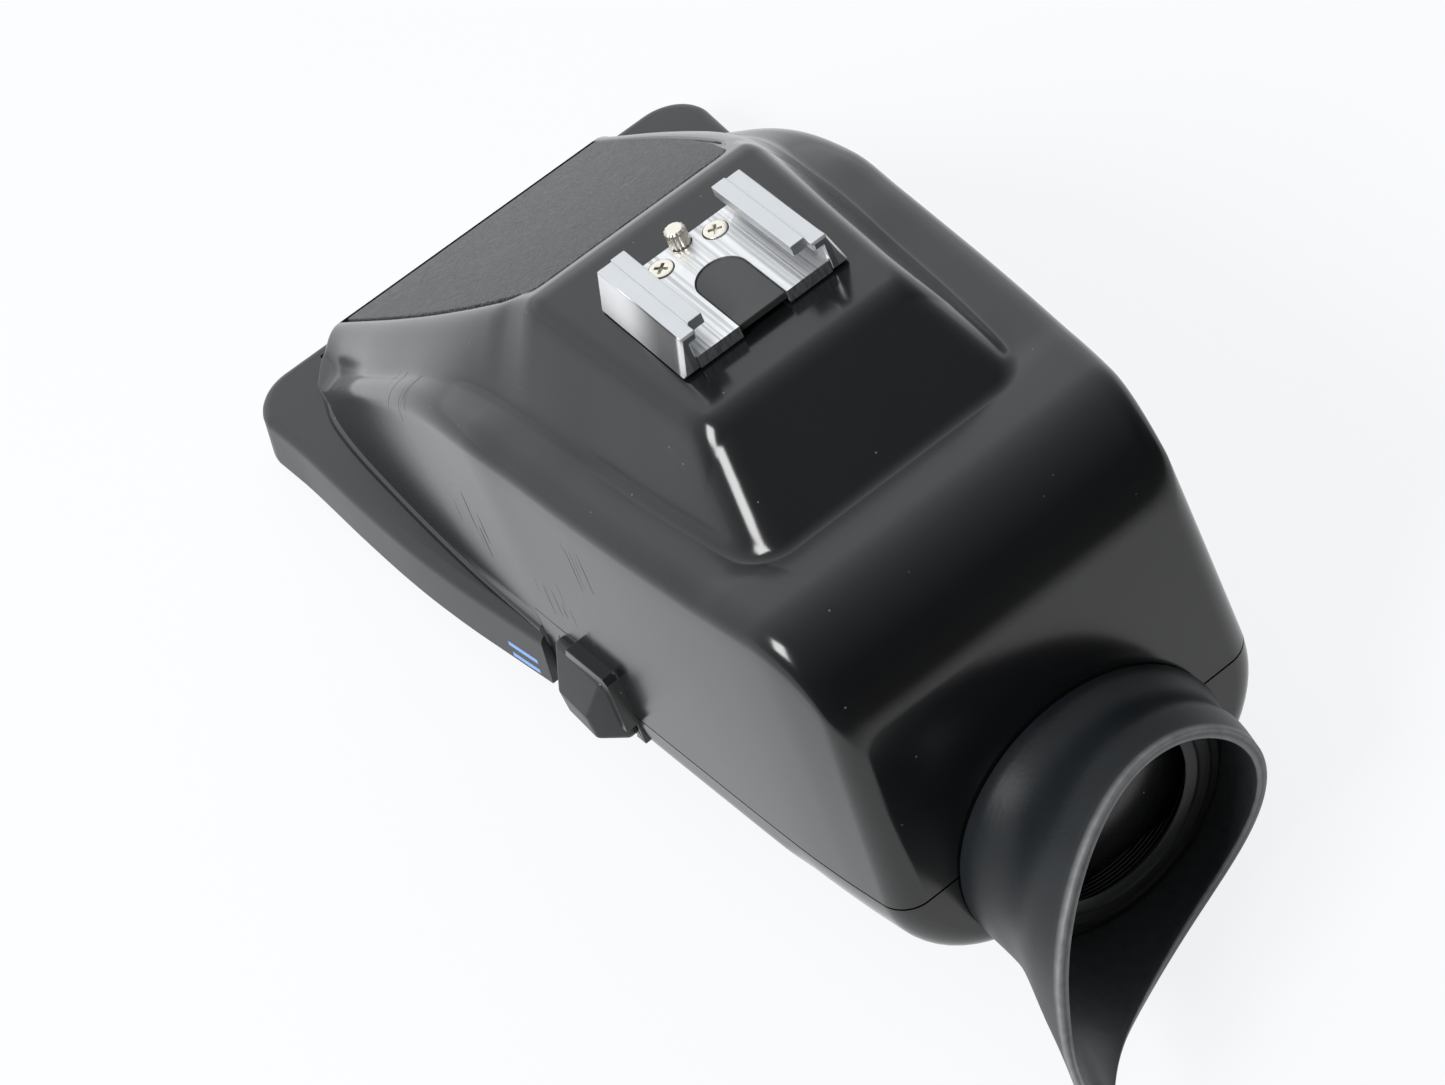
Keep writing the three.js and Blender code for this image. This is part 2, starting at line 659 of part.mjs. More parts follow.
// Lower shell: a tray under the rear of the cover, a deeper sump round the eyepiece
const shellStations = wallShares
  .map(([along, base]) => [alongCover(along), base * BASE_WIDTH / 2])
  .filter(([y]) => y < -FRAME_REAR - SHELL_EDGE_ROUND);
shellStations.push([-FRAME_REAR, baseHalfAt(-FRAME_REAR)]);
const shellRearX = rearBaseShare * BASE_WIDTH / 2 - WALL_CORNER_ROUND;

function shellForm(inset) {
  const points = [];
  const lead = seamBottom + OVERRUN;
  const edgeRadius = SHELL_EDGE_ROUND - inset;
  const ballHeight = SHELL_EDGE_ROUND - SHELL_DEPTH;
  const narrower = OVERRUN * SIDE_DRAFT;
  const rearY = -REAR_FACE + WALL_CORNER_ROUND;
  points.push(...disc([shellRearX - narrower, rearY, lead], WALL_CORNER_ROUND - inset));
  points.push(...ball([shellRearX, rearY, ballHeight], edgeRadius));
  for (const [y, half] of shellStations) {
    const x = half - SHELL_EDGE_ROUND;
    points.push(...disc([x - narrower, y, lead], edgeRadius));
    points.push(...ball([x, y, ballHeight], edgeRadius));
  }
  return hull(bothSides(points));
}

function ringAcross(x, z, radius, y, segments = 32) {
  return disc([x, -z, 0], radius, segments).map((point) => new THREE.Vector3(point.x, y, -point.y));
}

// The tray's outline seen from above, as deep as the eyepiece collar
function shellPlan(inset) {
  const levels = [-COLLAR_DIAMETER, SHELL_EDGE_ROUND - SHELL_DEPTH, seamBottom + OVERRUN];
  const points = levels.flatMap((level) => {
    const narrower = Math.max(0, level) * SIDE_DRAFT;
    const rearCentre = [shellRearX - narrower, -REAR_FACE + WALL_CORNER_ROUND, level];
    const sides = shellStations.flatMap(([y, half]) => (
      disc([half - narrower - SHELL_EDGE_ROUND, y, level], SHELL_EDGE_ROUND - inset)
    ));
    return [...disc(rearCentre, WALL_CORNER_ROUND - inset), ...sides];
  });
  return hull(bothSides(points));
}

function sumpForm(inset) {
  const radius = SUMP_CORNER - inset;
  const front = -sumpFront - inset;
  const soft = SUMP_END_ROUND;
  const x = SUMP_CORNER_SPACING / 2;
  const points = [];
  const halfway = soft * (1 - Math.SQRT1_2);
  const steps = [[front, soft], [front - halfway, halfway], [front - soft, 0], [-REAR_FACE + inset, 0]];
  for (const [y, cut] of steps) {
    points.push(...ringAcross(x, SUMP_CORNER_HEIGHT, radius - cut, y));
  }
  return hull(bothSides(points)).intersect(shellPlan(inset));
}

function collar(diameter, front, rear) {
  const radius = diameter / 2;
  return turnedOnEyeAxis([[0, -rear], [radius, -rear], [radius, -front], [0, -front]]);
}

const barrelDiameter = COLLAR_DIAMETER - 2 * BARREL_SET_IN;
const barrelBore = barrelDiameter - 2 * BARREL_WALL;
const barrelFlange = barrelDiameter + 2 * BARREL_FLANGE_WIDTH;
const cupDiameter = COLLAR_DIAMETER - 2 * CUP_SET_IN;
const cupSpigot = cupDiameter - 2 * CUP_SPIGOT_STEP;
const collarBlock = collar(COLLAR_DIAMETER, sumpFront, collarRear);
const insideDiameter = COLLAR_DIAMETER - 2 * SHELL_WALL;
const collarInside = collar(insideDiameter, sumpFront + SHELL_WALL, REAR_FACE - COVER_WALL);
const pocketFloor = collarRear - CUP_POCKET_DEPTH;
const cupPocket = collar(cupSpigot + 2 * GAP, pocketFloor, collarRear + OVERRUN);
const barrelHole = collar(barrelDiameter + 2 * GAP, REAR_FACE - OVERRUN, collarRear + OVERRUN);
const shellOutside = shellForm(0).add(sumpForm(0));

// The button and its guard: the guard is a plate let into both halves of the case
const wallAtButton = baseHalfAt(-BUTTON_PLACE);
const buttonFace = wallAtButton + BUTTON_STAND;
const plateInside = wallAtButton - COVER_WALL;
const earFace = plateInside - 3 * GAP;
const earBack = earFace - BUTTON_EAR_THICKNESS;

function guardSpace(growth) {
  return block(
    [-faraway, -plateInside + COVER_WALL],
    [-GUARD_REAR - growth, -GUARD_FRONT + growth],
    [GUARD_FOOT - growth, GUARD_TOP + growth],
  );
}

function buttonPrism(growth, inner, outer) {
  const [length, height] = [BUTTON_LENGTH + 2 * growth, BUTTON_HEIGHT + 2 * growth];
  const section = roundedRectangle(length, height, BUTTON_ROUND + growth);
  const settings = { depth: outer - inner, bevelEnabled: false, curveSegments: 4 };
  const geometry = new THREE.ExtrudeGeometry(section, settings);
  geometry.applyMatrix4(new THREE.Matrix4().set(
    0, 0, -1, -inner,
    -1, 0, 0, -BUTTON_PLACE,
    0, 1, 0, BUTTON_MIDDLE_HEIGHT,
    0, 0, 0, 1,
  ));
  return solid(geometry);
}

const guardPlate = coverOutside.add(shellOutside)
  .subtract(coverInside.add(shellForm(SHELL_WALL)))
  .intersect(guardSpace(0));
const ribInner = wallAtButton - COVER_WALL / 2;
const ribRear = -GUARD_REAR + GUARD_RIB;
const ribFront = -GUARD_REAR + GUARD_RIB_LENGTH;
const standOff = shoulderBody(-GUARD_STAND).add(shellForm(-GUARD_STAND));
const guardRib = slabAcross([
  [ribFront - GUARD_RIB / 2, GUARD_TOP],
  [-GUARD_REAR + GUARD_RIB / 2, GUARD_TOP],
  [-GUARD_REAR, GUARD_TOP - GUARD_RIB / 2],
  [-GUARD_REAR, GUARD_TOP - GUARD_REAR_DROP],
  [ribRear, GUARD_TOP - GUARD_REAR_DROP],
  [ribRear, GUARD_TOP - GUARD_RIB],
  [ribFront, GUARD_TOP - GUARD_RIB],
].reverse(), -faraway, -ribInner).intersect(standOff);
const buttonHole = buttonPrism(GAP, plateInside - OVERRUN, buttonFace + OVERRUN);
addPiece('button_guard', guardPlate.add(guardRib).subtract(buttonHole), satinBlack());

// The button itself: a block with tapered ends and a slanted top facet, ears behind the plate
function buttonCorners(x, taper, lowZ, highZ) {
  const half = BUTTON_LENGTH / 2 - BUTTON_ROUND - taper;
  const points = [];
  for (const y of [-BUTTON_PLACE - half, -BUTTON_PLACE + half]) {
    points.push(...ball([-x, y, lowZ + BUTTON_ROUND], BUTTON_ROUND));
    points.push(...ball([-x, y, highZ - BUTTON_ROUND], BUTTON_ROUND));
  }
  return points;
}

const buttonLow = BUTTON_MIDDLE_HEIGHT - BUTTON_HEIGHT / 2;
const buttonHigh = BUTTON_MIDDLE_HEIGHT + BUTTON_HEIGHT / 2;
const faceX = buttonFace - BUTTON_ROUND;
const earHalf = BUTTON_LENGTH / 2 + BUTTON_EAR;
const springY = -BUTTON_PLACE - SPRING_SETBACK;
const springOuter = earBack - GAP;
const postEnd = -earBack + SPRING_POST_LENGTH;
const springInner = springOuter - SPRING_LENGTH;
const leverAxisX = wallAtButton - LEVER_SET_IN;
const noseInner = leverAxisX + GAP;
const button = hull([
  ...buttonCorners(earBack + BUTTON_ROUND, 0, buttonLow, buttonHigh),
  ...buttonCorners(faceX - BUTTON_SLANT_DEPTH, 0, buttonLow, buttonHigh),
  ...buttonCorners(faceX, BUTTON_END_TAPER, buttonLow + BUTTON_ROUND, buttonHigh - BUTTON_SLANT_DROP),
])
  .add(block(
    [-earFace, -earBack],
    [-BUTTON_PLACE - earHalf, -BUTTON_PLACE + earHalf],
    [buttonLow + BUTTON_ROUND, buttonHigh - BUTTON_ROUND],
  ))
  .add(block(
    [-earBack - BUTTON_EAR_THICKNESS / 2, -noseInner],
    [-BUTTON_PLACE - BUTTON_NOSE_WIDTH / 2, -BUTTON_PLACE + BUTTON_NOSE_WIDTH / 2],
    [BUTTON_NOSE_HEIGHT - BUTTON_NOSE_THICKNESS / 2, BUTTON_NOSE_HEIGHT + BUTTON_NOSE_THICKNESS / 2],
  ))
  .add(sideways(SPRING_POST, -earBack - BUTTON_ROUND / 2, postEnd, springY, SPRING_HEIGHT));
addPiece('release_button', button, satinBlack());

// Spring behind the button, a round wire wound about an axis along X
class SpringPath extends THREE.Curve {
  getPoint(share, target = new THREE.Vector3()) {
    const angle = share * SPRING_TURNS * 2 * Math.PI;
    const radius = (SPRING_DIAMETER - SPRING_WIRE) / 2;
    const travel = SPRING_LENGTH - SPRING_WIRE - 2 * GAP;
    const x = -springInner - GAP - SPRING_WIRE / 2 - share * travel;
    return target.set(x, springY + radius * Math.cos(angle), SPRING_HEIGHT + radius * Math.sin(angle));
  }
}
const wireSection = new THREE.Shape();
wireSection.absarc(0, 0, SPRING_WIRE / 2, 0, 2 * Math.PI);
const springSteps = SPRING_TURNS * 16;
const springWire = new THREE.ExtrudeGeometry(wireSection, {
  extrudePath: new SpringPath(),
  steps: springSteps,
  curveSegments: 3,
  bevelEnabled: false,
});
addPiece('button_spring', solid(springWire), springSteel());

// Lock lever: a tube on a pin, a finger behind the button, and a hook that reaches into the camera
const leverX = -leverAxisX;
const halfBlade = LEVER_THICKNESS / 2;
const bladeSpan = [leverX - halfBlade, leverX + halfBlade];
const fingerInner = [leverX, leverX + LEVER_THICKNESS];
const hookY = [-HOOK_REAR, -HOOK_FRONT];
const lever = lengthwise(LEVER_TUBE, -LEVER_TUBE_REAR, -LEVER_TUBE_FRONT, leverX, LEVER_AXIS_Z, 24)
  .add(block(bladeSpan, hookY, [-HOOK_DROP, LEVER_AXIS_Z]))
  .add(slabAlong(new THREE.Shape([
    new THREE.Vector2(leverX - halfBlade - HOOK_TOOTH, -HOOK_DROP + HOOK_TOOTH_HEIGHT / 2),
    new THREE.Vector2(leverX - halfBlade, -HOOK_DROP),
    new THREE.Vector2(leverX, -HOOK_DROP),
    new THREE.Vector2(leverX, -HOOK_DROP + HOOK_TOOTH_HEIGHT),
    new THREE.Vector2(leverX - halfBlade - HOOK_TOOTH, -HOOK_DROP + HOOK_TOOTH_HEIGHT),
  ]), ...hookY))
  .add(block([leverX - halfBlade, leverX + LEVER_THICKNESS],
    [-LEVER_TUBE_REAR, -LEVER_TUBE_REAR + LEVER_ARM_WIDTH],
    [BUTTON_NOSE_HEIGHT - LEVER_FINGER_WIDTH / 2, LEVER_AXIS_Z]))
  .add(block(fingerInner,
    [-LEVER_FINGER_REAR, -LEVER_TUBE_REAR + LEVER_ARM_WIDTH],
    [BUTTON_NOSE_HEIGHT - LEVER_FINGER_WIDTH / 2, BUTTON_NOSE_HEIGHT + LEVER_FINGER_WIDTH / 2]))
  .subtract(lengthwise(LEVER_PIN + 2 * GAP, -faraway, 0, leverX, LEVER_AXIS_Z, 24));
addPiece('lock_lever', lever, springSteel());

// Lugs that carry the lever's pin: one on the lower shell, one on the mount frame
const rearLugFront = -LEVER_TUBE_REAR - GAP;
const frontLugRear = -LEVER_TUBE_FRONT + GAP;
const lugOuter = leverX - LEVER_TUBE / 2;
const lugInner = leverX + LEVER_TUBE / 2;
const lugWaist = leverX - GAP * 2;
const rearLug = slabAlong(new THREE.Shape([
  [lugOuter, -SHELL_DEPTH + SHELL_WALL / 2],
  [lugWaist, -SHELL_DEPTH + SHELL_WALL / 2],
  [lugWaist, LEVER_AXIS_Z - LEVER_TUBE / 2 - GAP * 2],
  [lugInner, LEVER_AXIS_Z - LEVER_TUBE / 2],
  [lugInner, LUG_HEIGHT],
  [lugOuter, LUG_HEIGHT],
].map(([x, z]) => new THREE.Vector2(x, z))), rearLugFront - LUG_THICKNESS, rearLugFront);
const frontLugY = [frontLugRear, frontLugRear + LUG_THICKNESS];
const frontLug = block([lugOuter, lugInner], frontLugY, [FRAME_HEIGHT / 2, LUG_HEIGHT]);
const pinBore = lengthwise(LEVER_PIN + GAP, -faraway, 0, leverX, LEVER_AXIS_Z, 24);
const pinRear = rearLugFront - LUG_THICKNESS + GAP / 2;
const pinFront = frontLugRear + LUG_THICKNESS - GAP / 2;
addPiece('lever_pin', lengthwise(LEVER_PIN, pinRear, pinFront, leverX, LEVER_AXIS_Z), nickel());
const springLug = block(
  [-springInner, -springInner + SPRING_LUG],
  [springY - LUG_WIDTH / 2, springY + LUG_WIDTH / 2],
  [-SHELL_DEPTH + SHELL_WALL / 2, SPRING_HEIGHT + SPRING_DIAMETER / 2],
);

// Case halves, trimmed at the seam and cut for everything that passes through them
const shellBosses = joined(shellScrews.map(([, x, y]) => (
  upright(BOSS_DIAMETER, x, y, -SHELL_DEPTH, seamBottom)
)));
const aboveSeam = block([-faraway, faraway], [-faraway, faraway], [seamBottom, faraway]);
const inFrontOfShell = block([-faraway, faraway], [-FRAME_REAR - GAP, faraway], [-faraway, faraway]);
const lowerShell = shellOutside
  .add(collarBlock)
  .subtract(shellForm(SHELL_WALL))
  .subtract(sumpForm(SHELL_WALL))
  .subtract(collarInside)
  .add(shellBosses.intersect(shellOutside))
  .subtract(guardSpace(GAP))
  .add(rearLug)
  .add(springLug)
  .subtract(aboveSeam)
  .add(rearLug)
  .add(springLug)
  .subtract(pinBore)
  .subtract(inFrontOfShell)
  .subtract(barrelHole)
  .subtract(cupPocket)
  .subtract(screwHoles);
addPiece('lower_shell', lowerShell, satinBlack());

// Shoe screws and the stop pin pass through the plateau into a backing plate
const shoeSeat = PLATEAU_HEIGHT + GAP;
const shoeFloor = shoeSeat + SHOE_BASE_THICKNESS;
const shoeFront = -SHOE_REAR + SHOE_LENGTH;
const shoeScrewY = shoeFront - SHOE_SCREW_SETBACK;
const backingTop = PLATEAU_HEIGHT - COVER_WALL - GAP;
const backingBottom = backingTop - BACKING_THICKNESS;
const pinY = shoeFront - PIN_SETBACK;
const pinTop = shoeFloor + PIN_HEIGHT;
const fixingHoles = joined([
  ...screwSides.map(([, side]) => upright(
    SHOE_SCREW_SHANK + 2 * GAP, side * SHOE_SCREW_SPACING / 2, shoeScrewY, backingBottom - GAP, pinTop,
  )),
  upright(PIN_DIAMETER + 2 * GAP, 0, pinY, backingBottom - GAP, pinTop),
]);

const collarOnCover = collar(COLLAR_DIAMETER, REAR_FACE - COVER_WALL / 2, collarRear);
const cover = coverOutside
  .add(collarOnCover)
  .subtract(coverInside)
  .subtract(leatherPocket)
  .add(coverBosses)
  .subtract(belowFoot)
  .subtract(screwHoles)
  .subtract(fixingHoles)
  .subtract(barrelHole)
  .subtract(cupPocket)
  .subtract(guardSpace(GAP));
addPiece('top_cover', cover, glossBlack());

// Mount frame: a flat plate with drafted sides and a softened top edge
const frameShares = [
  [0, 0.866], [0.10, 0.900], [0.248, 0.937], [0.402, 0.973], [0.58, 0.986], [0.77, 0.988],
];

function framePost(x, y, radius) {
  const soft = FRAME_EDGE_ROUND;
  const flare = FRAME_HEIGHT * FRAME_DRAFT;
  const levels = [
    [flare, 0],
    [soft * FRAME_DRAFT, FRAME_HEIGHT - soft],
    [-soft * (1 - Math.SQRT1_2), FRAME_HEIGHT - soft * (1 - Math.SQRT1_2)],
    [-soft, FRAME_HEIGHT],
  ];
  return levels.flatMap(([grow, z]) => disc([x, y, z], radius + grow));
}

const frameLength = FRAME_FRONT + FRAME_REAR;
const frameWidth = BASE_WIDTH + 2 * FRAME_LEDGE;
const framePoints = [];
for (const [along, width] of frameShares) {
  const x = width * frameWidth / 2 - FRAME_EDGE_ROUND * 2;
  framePoints.push(...framePost(x, -FRAME_REAR + along * frameLength, FRAME_EDGE_ROUND * 2));
}
const cornerX = frameWidth / 2 - FRAME_CORNER;
framePoints.push(...framePost(cornerX, FRAME_FRONT - FRAME_CORNER, FRAME_CORNER));
const behindFrame = block([-faraway, faraway], [-faraway, -FRAME_REAR], [-faraway, faraway]);

const openingWidth = BASE_WIDTH - 2 * OPENING_MARGIN;
const openingFront = OPENING_LENGTH - OPENING_REAR;
const openingMiddle = openingFront - OPENING_LENGTH / 2;

function openingCut(growth, low, high) {
  const width = openingWidth + 2 * growth;
  const length = OPENING_LENGTH + 2 * growth;
  return slab(roundedRectangle(width, length, OPENING_CORNER, 0, openingMiddle), low, high);
}

const maskBottom = FRAME_HEIGHT - MASK_THICKNESS;
const windowTop = maskBottom - GAP;
const windowBottom = windowTop - WINDOW_THICKNESS;
const hookSlotOuter = leverX - halfBlade - HOOK_TOOTH - GAP;
const hookSwing = BUTTON_TRAVEL * (LEVER_AXIS_Z + HOOK_DROP) / (LEVER_AXIS_Z - BUTTON_NOSE_HEIGHT);
const hookSlot = block(
  [hookSlotOuter, leverX + halfBlade + hookSwing + GAP],
  [-HOOK_REAR - GAP, -HOOK_FRONT + GAP],
  [-OVERRUN, FRAME_HEIGHT + OVERRUN],
);
const mountFrame = hull(bothSides(framePoints))
  .subtract(behindFrame)
  .add(frontLug)
  .subtract(pinBore.intersect(block([-faraway, faraway], [-faraway, 0], [FRAME_HEIGHT, faraway])))
  .subtract(openingCut(0, -OVERRUN, FRAME_HEIGHT + OVERRUN))
  .subtract(openingCut(WINDOW_SEAT, windowBottom - GAP, FRAME_HEIGHT + GAP / 2))
  .subtract(openingCut(SEAL_WIDTH + GAP, -OVERRUN, SEAL_THICKNESS + GAP))
  .subtract(hookSlot)
  .subtract(screwHoles);
addPiece('mount_frame', mountFrame, castBlack());

// Window, mask and light seal
const paneGrowth = WINDOW_SEAT - GAP;
addPiece('entry_window', openingCut(paneGrowth, windowBottom, windowTop), glass());
const maskSheet = openingCut(paneGrowth, maskBottom, FRAME_HEIGHT)
  .subtract(openingCut(-MASK_OVERLAP, 0, FRAME_HEIGHT + OVERRUN));
addPiece('entry_mask', maskSheet, mattBlack());
const sealRing = openingCut(SEAL_WIDTH, 0, SEAL_THICKNESS).subtract(openingCut(0, -OVERRUN, OVERRUN));
addPiece('light_seal', sealRing, foam());

// Eyepiece: everything is turned about the eye axis, from the front of the barrel to the rear
const barrelRear = collarRear + BARREL_STAND;
const barrelFront = barrelRear - BARREL_LENGTH;
const bore = barrelBore / 2;
const seatRadius = bore - BARREL_SEAT_WIDTH;
const flangeFront = barrelRear - BARREL_FLANGE_THICKNESS;
addPiece('eyepiece_barrel', turnedOnEyeAxis([
  [seatRadius, -barrelFront],
  [seatRadius, -barrelFront - BARREL_SEAT_THICKNESS],
  [bore, -barrelFront - BARREL_SEAT_THICKNESS],
  [bore, -barrelRear],
  [barrelFlange / 2, -barrelRear],
  [barrelFlange / 2, -flangeFront],
  [barrelDiameter / 2, -flangeFront],
  [barrelDiameter / 2, -barrelFront],
  [seatRadius, -barrelFront],
]), mattBlack());

// A lens with a flat rim that bulges on both faces, the rim between two distances behind the origin
function lens(radius, rimFront, rimRear, bulge) {
  const steps = 4;
  const clear = radius - LENS_RIM;
  const sag = Array.from({ length: steps + 1 }, (_, step) => {
    const share = step / steps;
    return [clear * share, bulge * (1 - share * share)];
  });
  const rear = sag.map(([r, height]) => [r, -rimRear - height]);
  const front = sag.map(([r, height]) => [r, -rimFront + height]).reverse();
  return turnedOnEyeAxis([...rear, [radius, -rimRear], [radius, -rimFront], ...front], 40);
}

function tube(outer, inner, front, rear) {
  const corners = [[inner, -rear], [outer, -rear], [outer, -front], [inner, -front], [inner, -rear]];
  return turnedOnEyeAxis(corners, 40);
}

const lensRadius = bore - LENS_PLAY;
const fieldFront = barrelFront + BARREL_SEAT_THICKNESS + GAP;
const fieldRear = fieldFront + FIELD_LENS_EDGE;
const spacerFront = fieldRear + GAP;
const spacerRear = spacerFront + SPACER_LENGTH;
const eyeFront = spacerRear + GAP;
const eyeRear = eyeFront + EYE_LENS_EDGE;
const retainerFront = eyeRear + GAP;
addPiece('field_lens', lens(lensRadius, fieldFront, fieldRear, FIELD_LENS_BULGE), glass());
addPiece('lens_spacer', tube(lensRadius, lensRadius - SPACER_WALL, spacerFront, spacerRear), mattBlack());
addPiece('eye_lens', lens(lensRadius, eyeFront, eyeRear, EYE_LENS_BULGE), glass());
const retainerRear = retainerFront + RETAINER_THICKNESS;
const retainer = tube(lensRadius, bore - RETAINER_WALL, retainerFront, retainerRear);
addPiece('lens_retaining_ring', retainer, mattBlack());

const bezelFront = barrelRear + GAP;
const bezelRear = bezelFront + BEZEL_THICKNESS;
const bezelRadius = barrelFlange / 2;
const bezelOpening = bore - BEZEL_OVERHANG;
const bezelEdge = bezelRadius - BEZEL_RIM;
addPiece('eyepiece_bezel', turnedOnEyeAxis([
  [bezelOpening, -bezelFront],
  [bezelOpening, -bezelRear + BEZEL_STEP],
  [bezelOpening + BEZEL_STEP, -bezelRear],
  [bezelEdge, -bezelRear],
  [bezelEdge + BEZEL_STEP, -bezelRear + BEZEL_STEP],
  [bezelRadius, -bezelRear + BEZEL_STEP],
  [bezelRadius, -bezelFront],
  [bezelOpening, -bezelFront],
]), satinBlack());

// Rubber eyecup: one closed section that changes as it goes round the eye axis
const cupBase = collarRear + GAP;
const cupBeadInside = barrelDiameter / 2 + GAP;

// How near an angle is to the wing's tip: 1 at the tip, with one spread before it and one behind
function nearTip(angle, [before, after]) {
  const turn = Math.atan2(Math.sin(angle - CUP_WING_ANGLE), Math.cos(angle - CUP_WING_ANGLE));
  const spread = turn > 0 ? after : before;
  return 1 / (1 + (turn / spread) ** 2);
}

// Shares of the cup's height and flare where its wall bends
const cupBendShare = 0.5;
const cupBendFlareShare = 0.3;

function cupSection(angle) {
  const lean = CUP_LEAN * Math.cos(angle - CUP_LEAN_ANGLE);
  const height = CUP_RIM_HEIGHT + lean + CUP_WING_HEIGHT * nearTip(angle, CUP_TIP_SPREAD);
  const flare = CUP_FLARE * nearTip(angle, CUP_FLARE_SPREAD);
  const shift = CUP_RIM_SHIFT * Math.cos(angle - CUP_SHIFT_ANGLE);
  const outer = cupDiameter / 2;
  const inner = outer - CUP_WALL;
  const bendY = -cupBase - height * cupBendShare;
  const bendOuter = outer - CUP_WAIST + flare * cupBendFlareShare;
  const rimOuter = outer - CUP_RIM_SET_IN + shift + flare;
  const rimInner = rimOuter - CUP_RIM_THICKNESS;
  const rimY = -cupBase - height;
  const beadFront = -pocketFloor - GAP;
  const soft = CUP_RIM_THICKNESS / 5;
  return [
    [cupBeadInside, beadFront],
    [cupBeadInside, beadFront - CUP_BEAD_WIDTH],
    [inner, beadFront - CUP_BEAD_WIDTH],
    [inner, -cupBase - GAP],
    [bendOuter - CUP_RIM_THICKNESS, bendY],
    [rimInner, rimY + soft],
    [rimInner + soft, rimY],
    [rimOuter - soft, rimY],
    [rimOuter, rimY + soft],
    [bendOuter, bendY],
    [outer, -cupBase - CUP_RIM_THICKNESS],
    [outer, -cupBase],
    [cupSpigot / 2, -cupBase],
    [cupSpigot / 2, beadFront],
  ];
}

// Angles for the sections, close together near the wing's tip and wider on the other side
const tipStepShare = 0.5;

function cupAngle(share) {
  const turn = share - 1 / 2;
  const bunched = tipStepShare * turn + (1 - tipStepShare) * 4 * turn ** 3;
  return CUP_WING_ANGLE + 2 * Math.PI * bunched;
}

// Joins sections that go round the eye axis into one closed skin
function skinRound(sectionAt, angleAt, turns) {
  const positions = [];
  const index = [];
  const count = sectionAt(0).length;
  for (let turn = 0; turn < turns; turn += 1) {
    const angle = angleAt(turn / turns);
    for (const [radius, y] of sectionAt(angle)) {
      positions.push(radius * Math.cos(angle), y, EYE_AXIS_HEIGHT + radius * Math.sin(angle));
    }
    const next = (turn + 1) % turns;
    for (let place = 0; place < count; place += 1) {
      const after = (place + 1) % count;
      const [a, b] = [turn * count + place, turn * count + after];
      const [c, d] = [next * count + place, next * count + after];
      index.push(a, b, c, b, d, c);
    }
  }
  const geometry = new THREE.BufferGeometry();
  geometry.setAttribute('position', new THREE.Float32BufferAttribute(positions, 3));
  geometry.setIndex(index);
  return solid(geometry);
}

addPiece('rubber_eyecup', skinRound(cupSection, cupAngle, 60), rubber());

// Accessory shoe: one section pushed along Y, then cut at the ends and for its insert and screws
function shoeSection() {
  const rail = SHOE_TOP_WIDTH / 2;
  const lipStep = rail - SHOE_LIP_STEP * 2;
  const half = [
    [SHOE_BASE_WIDTH / 2, shoeSeat],
    [SHOE_BASE_WIDTH / 2, shoeSeat + SHOE_EDGE_CUT],
    [rail, shoeFloor + SHOE_RAIL_HEIGHT],
    [lipStep, shoeFloor + SHOE_RAIL_HEIGHT],
    [lipStep, shoeFloor + SHOE_LIP_HEIGHT],
    [SHOE_LIP_GAP / 2, shoeFloor + SHOE_LIP_HEIGHT],
    [SHOE_LIP_GAP / 2, shoeFloor + SHOE_CHANNEL_HEIGHT],
    [SHOE_CHANNEL_WIDTH / 2, shoeFloor + SHOE_CHANNEL_HEIGHT],
    [SHOE_CHANNEL_WIDTH / 2, shoeFloor],
  ];
  const mirrored = half.map(([x, z]) => [-x, z]).reverse();
  return new THREE.Shape([...half, ...mirrored].map(([x, z]) => new THREE.Vector2(x, z)));
}

const insertHalf = INSERT_WIDTH / 2;
const insertRear = -SHOE_REAR + INSERT_REAR_LIP;

function insertOutline(growth) {
  const half = insertHalf + growth;
  const front = insertRear + INSERT_LENGTH - insertHalf;
  const shape = new THREE.Shape();
  shape.moveTo(-half, insertRear - growth);
  shape.lineTo(half, insertRear - growth);
  shape.lineTo(half, front);
  shape.absarc(0, front, half, 0, Math.PI);
  shape.closePath();
  return shape;
}

const lipLevel = [shoeFloor + SHOE_CHANNEL_HEIGHT - GAP, shoeFloor + SHOE_LIP_HEIGHT + OVERRUN];
const lipCut = block(
  [-SHOE_CHANNEL_WIDTH / 2 + SHOE_LIP_SIDE_SETBACK, SHOE_CHANNEL_WIDTH / 2 - SHOE_LIP_SIDE_SETBACK],
  [-SHOE_REAR - OVERRUN, -SHOE_REAR + SHOE_LIP_SETBACK],
  lipLevel,
);
const headCuts = joined(screwSides.map(([, side]) => upright(
  SHOE_SCREW_HEAD + 2 * GAP,
  side * SHOE_SCREW_SPACING / 2,
  shoeScrewY,
  shoeFloor - SHOE_SCREW_HEAD_THICKNESS - GAP,
  shoeFloor + OVERRUN / 4,
)));
const shoe = slabAlong(shoeSection(), -SHOE_REAR, shoeFront)
  .subtract(lipCut)
  .subtract(slab(insertOutline(GAP), shoeSeat - OVERRUN, shoeFloor + GAP, 10))
  .subtract(headCuts)
  .subtract(fixingHoles);
addPiece('accessory_shoe', shoe, aluminium());
addPiece('shoe_insert', slab(insertOutline(0), shoeSeat, shoeSeat + INSERT_THICKNESS, 10), mattBlack());

const shoeScrewSeat = shoeFloor - SHOE_SCREW_HEAD_THICKNESS;
for (const [name, side] of screwSides) {
  const length = shoeScrewSeat - backingBottom;
  const up = screwUp(0, 0, 0, length, SHOE_SCREW_HEAD, SHOE_SCREW_HEAD_THICKNESS, SHOE_SCREW_SHANK);
  const down = up.rotate([180, 0, 0]).translate([side * SHOE_SCREW_SPACING / 2, shoeScrewY, shoeScrewSeat]);
  addPiece(`shoe_screw_${name}`, down, nickel());
}

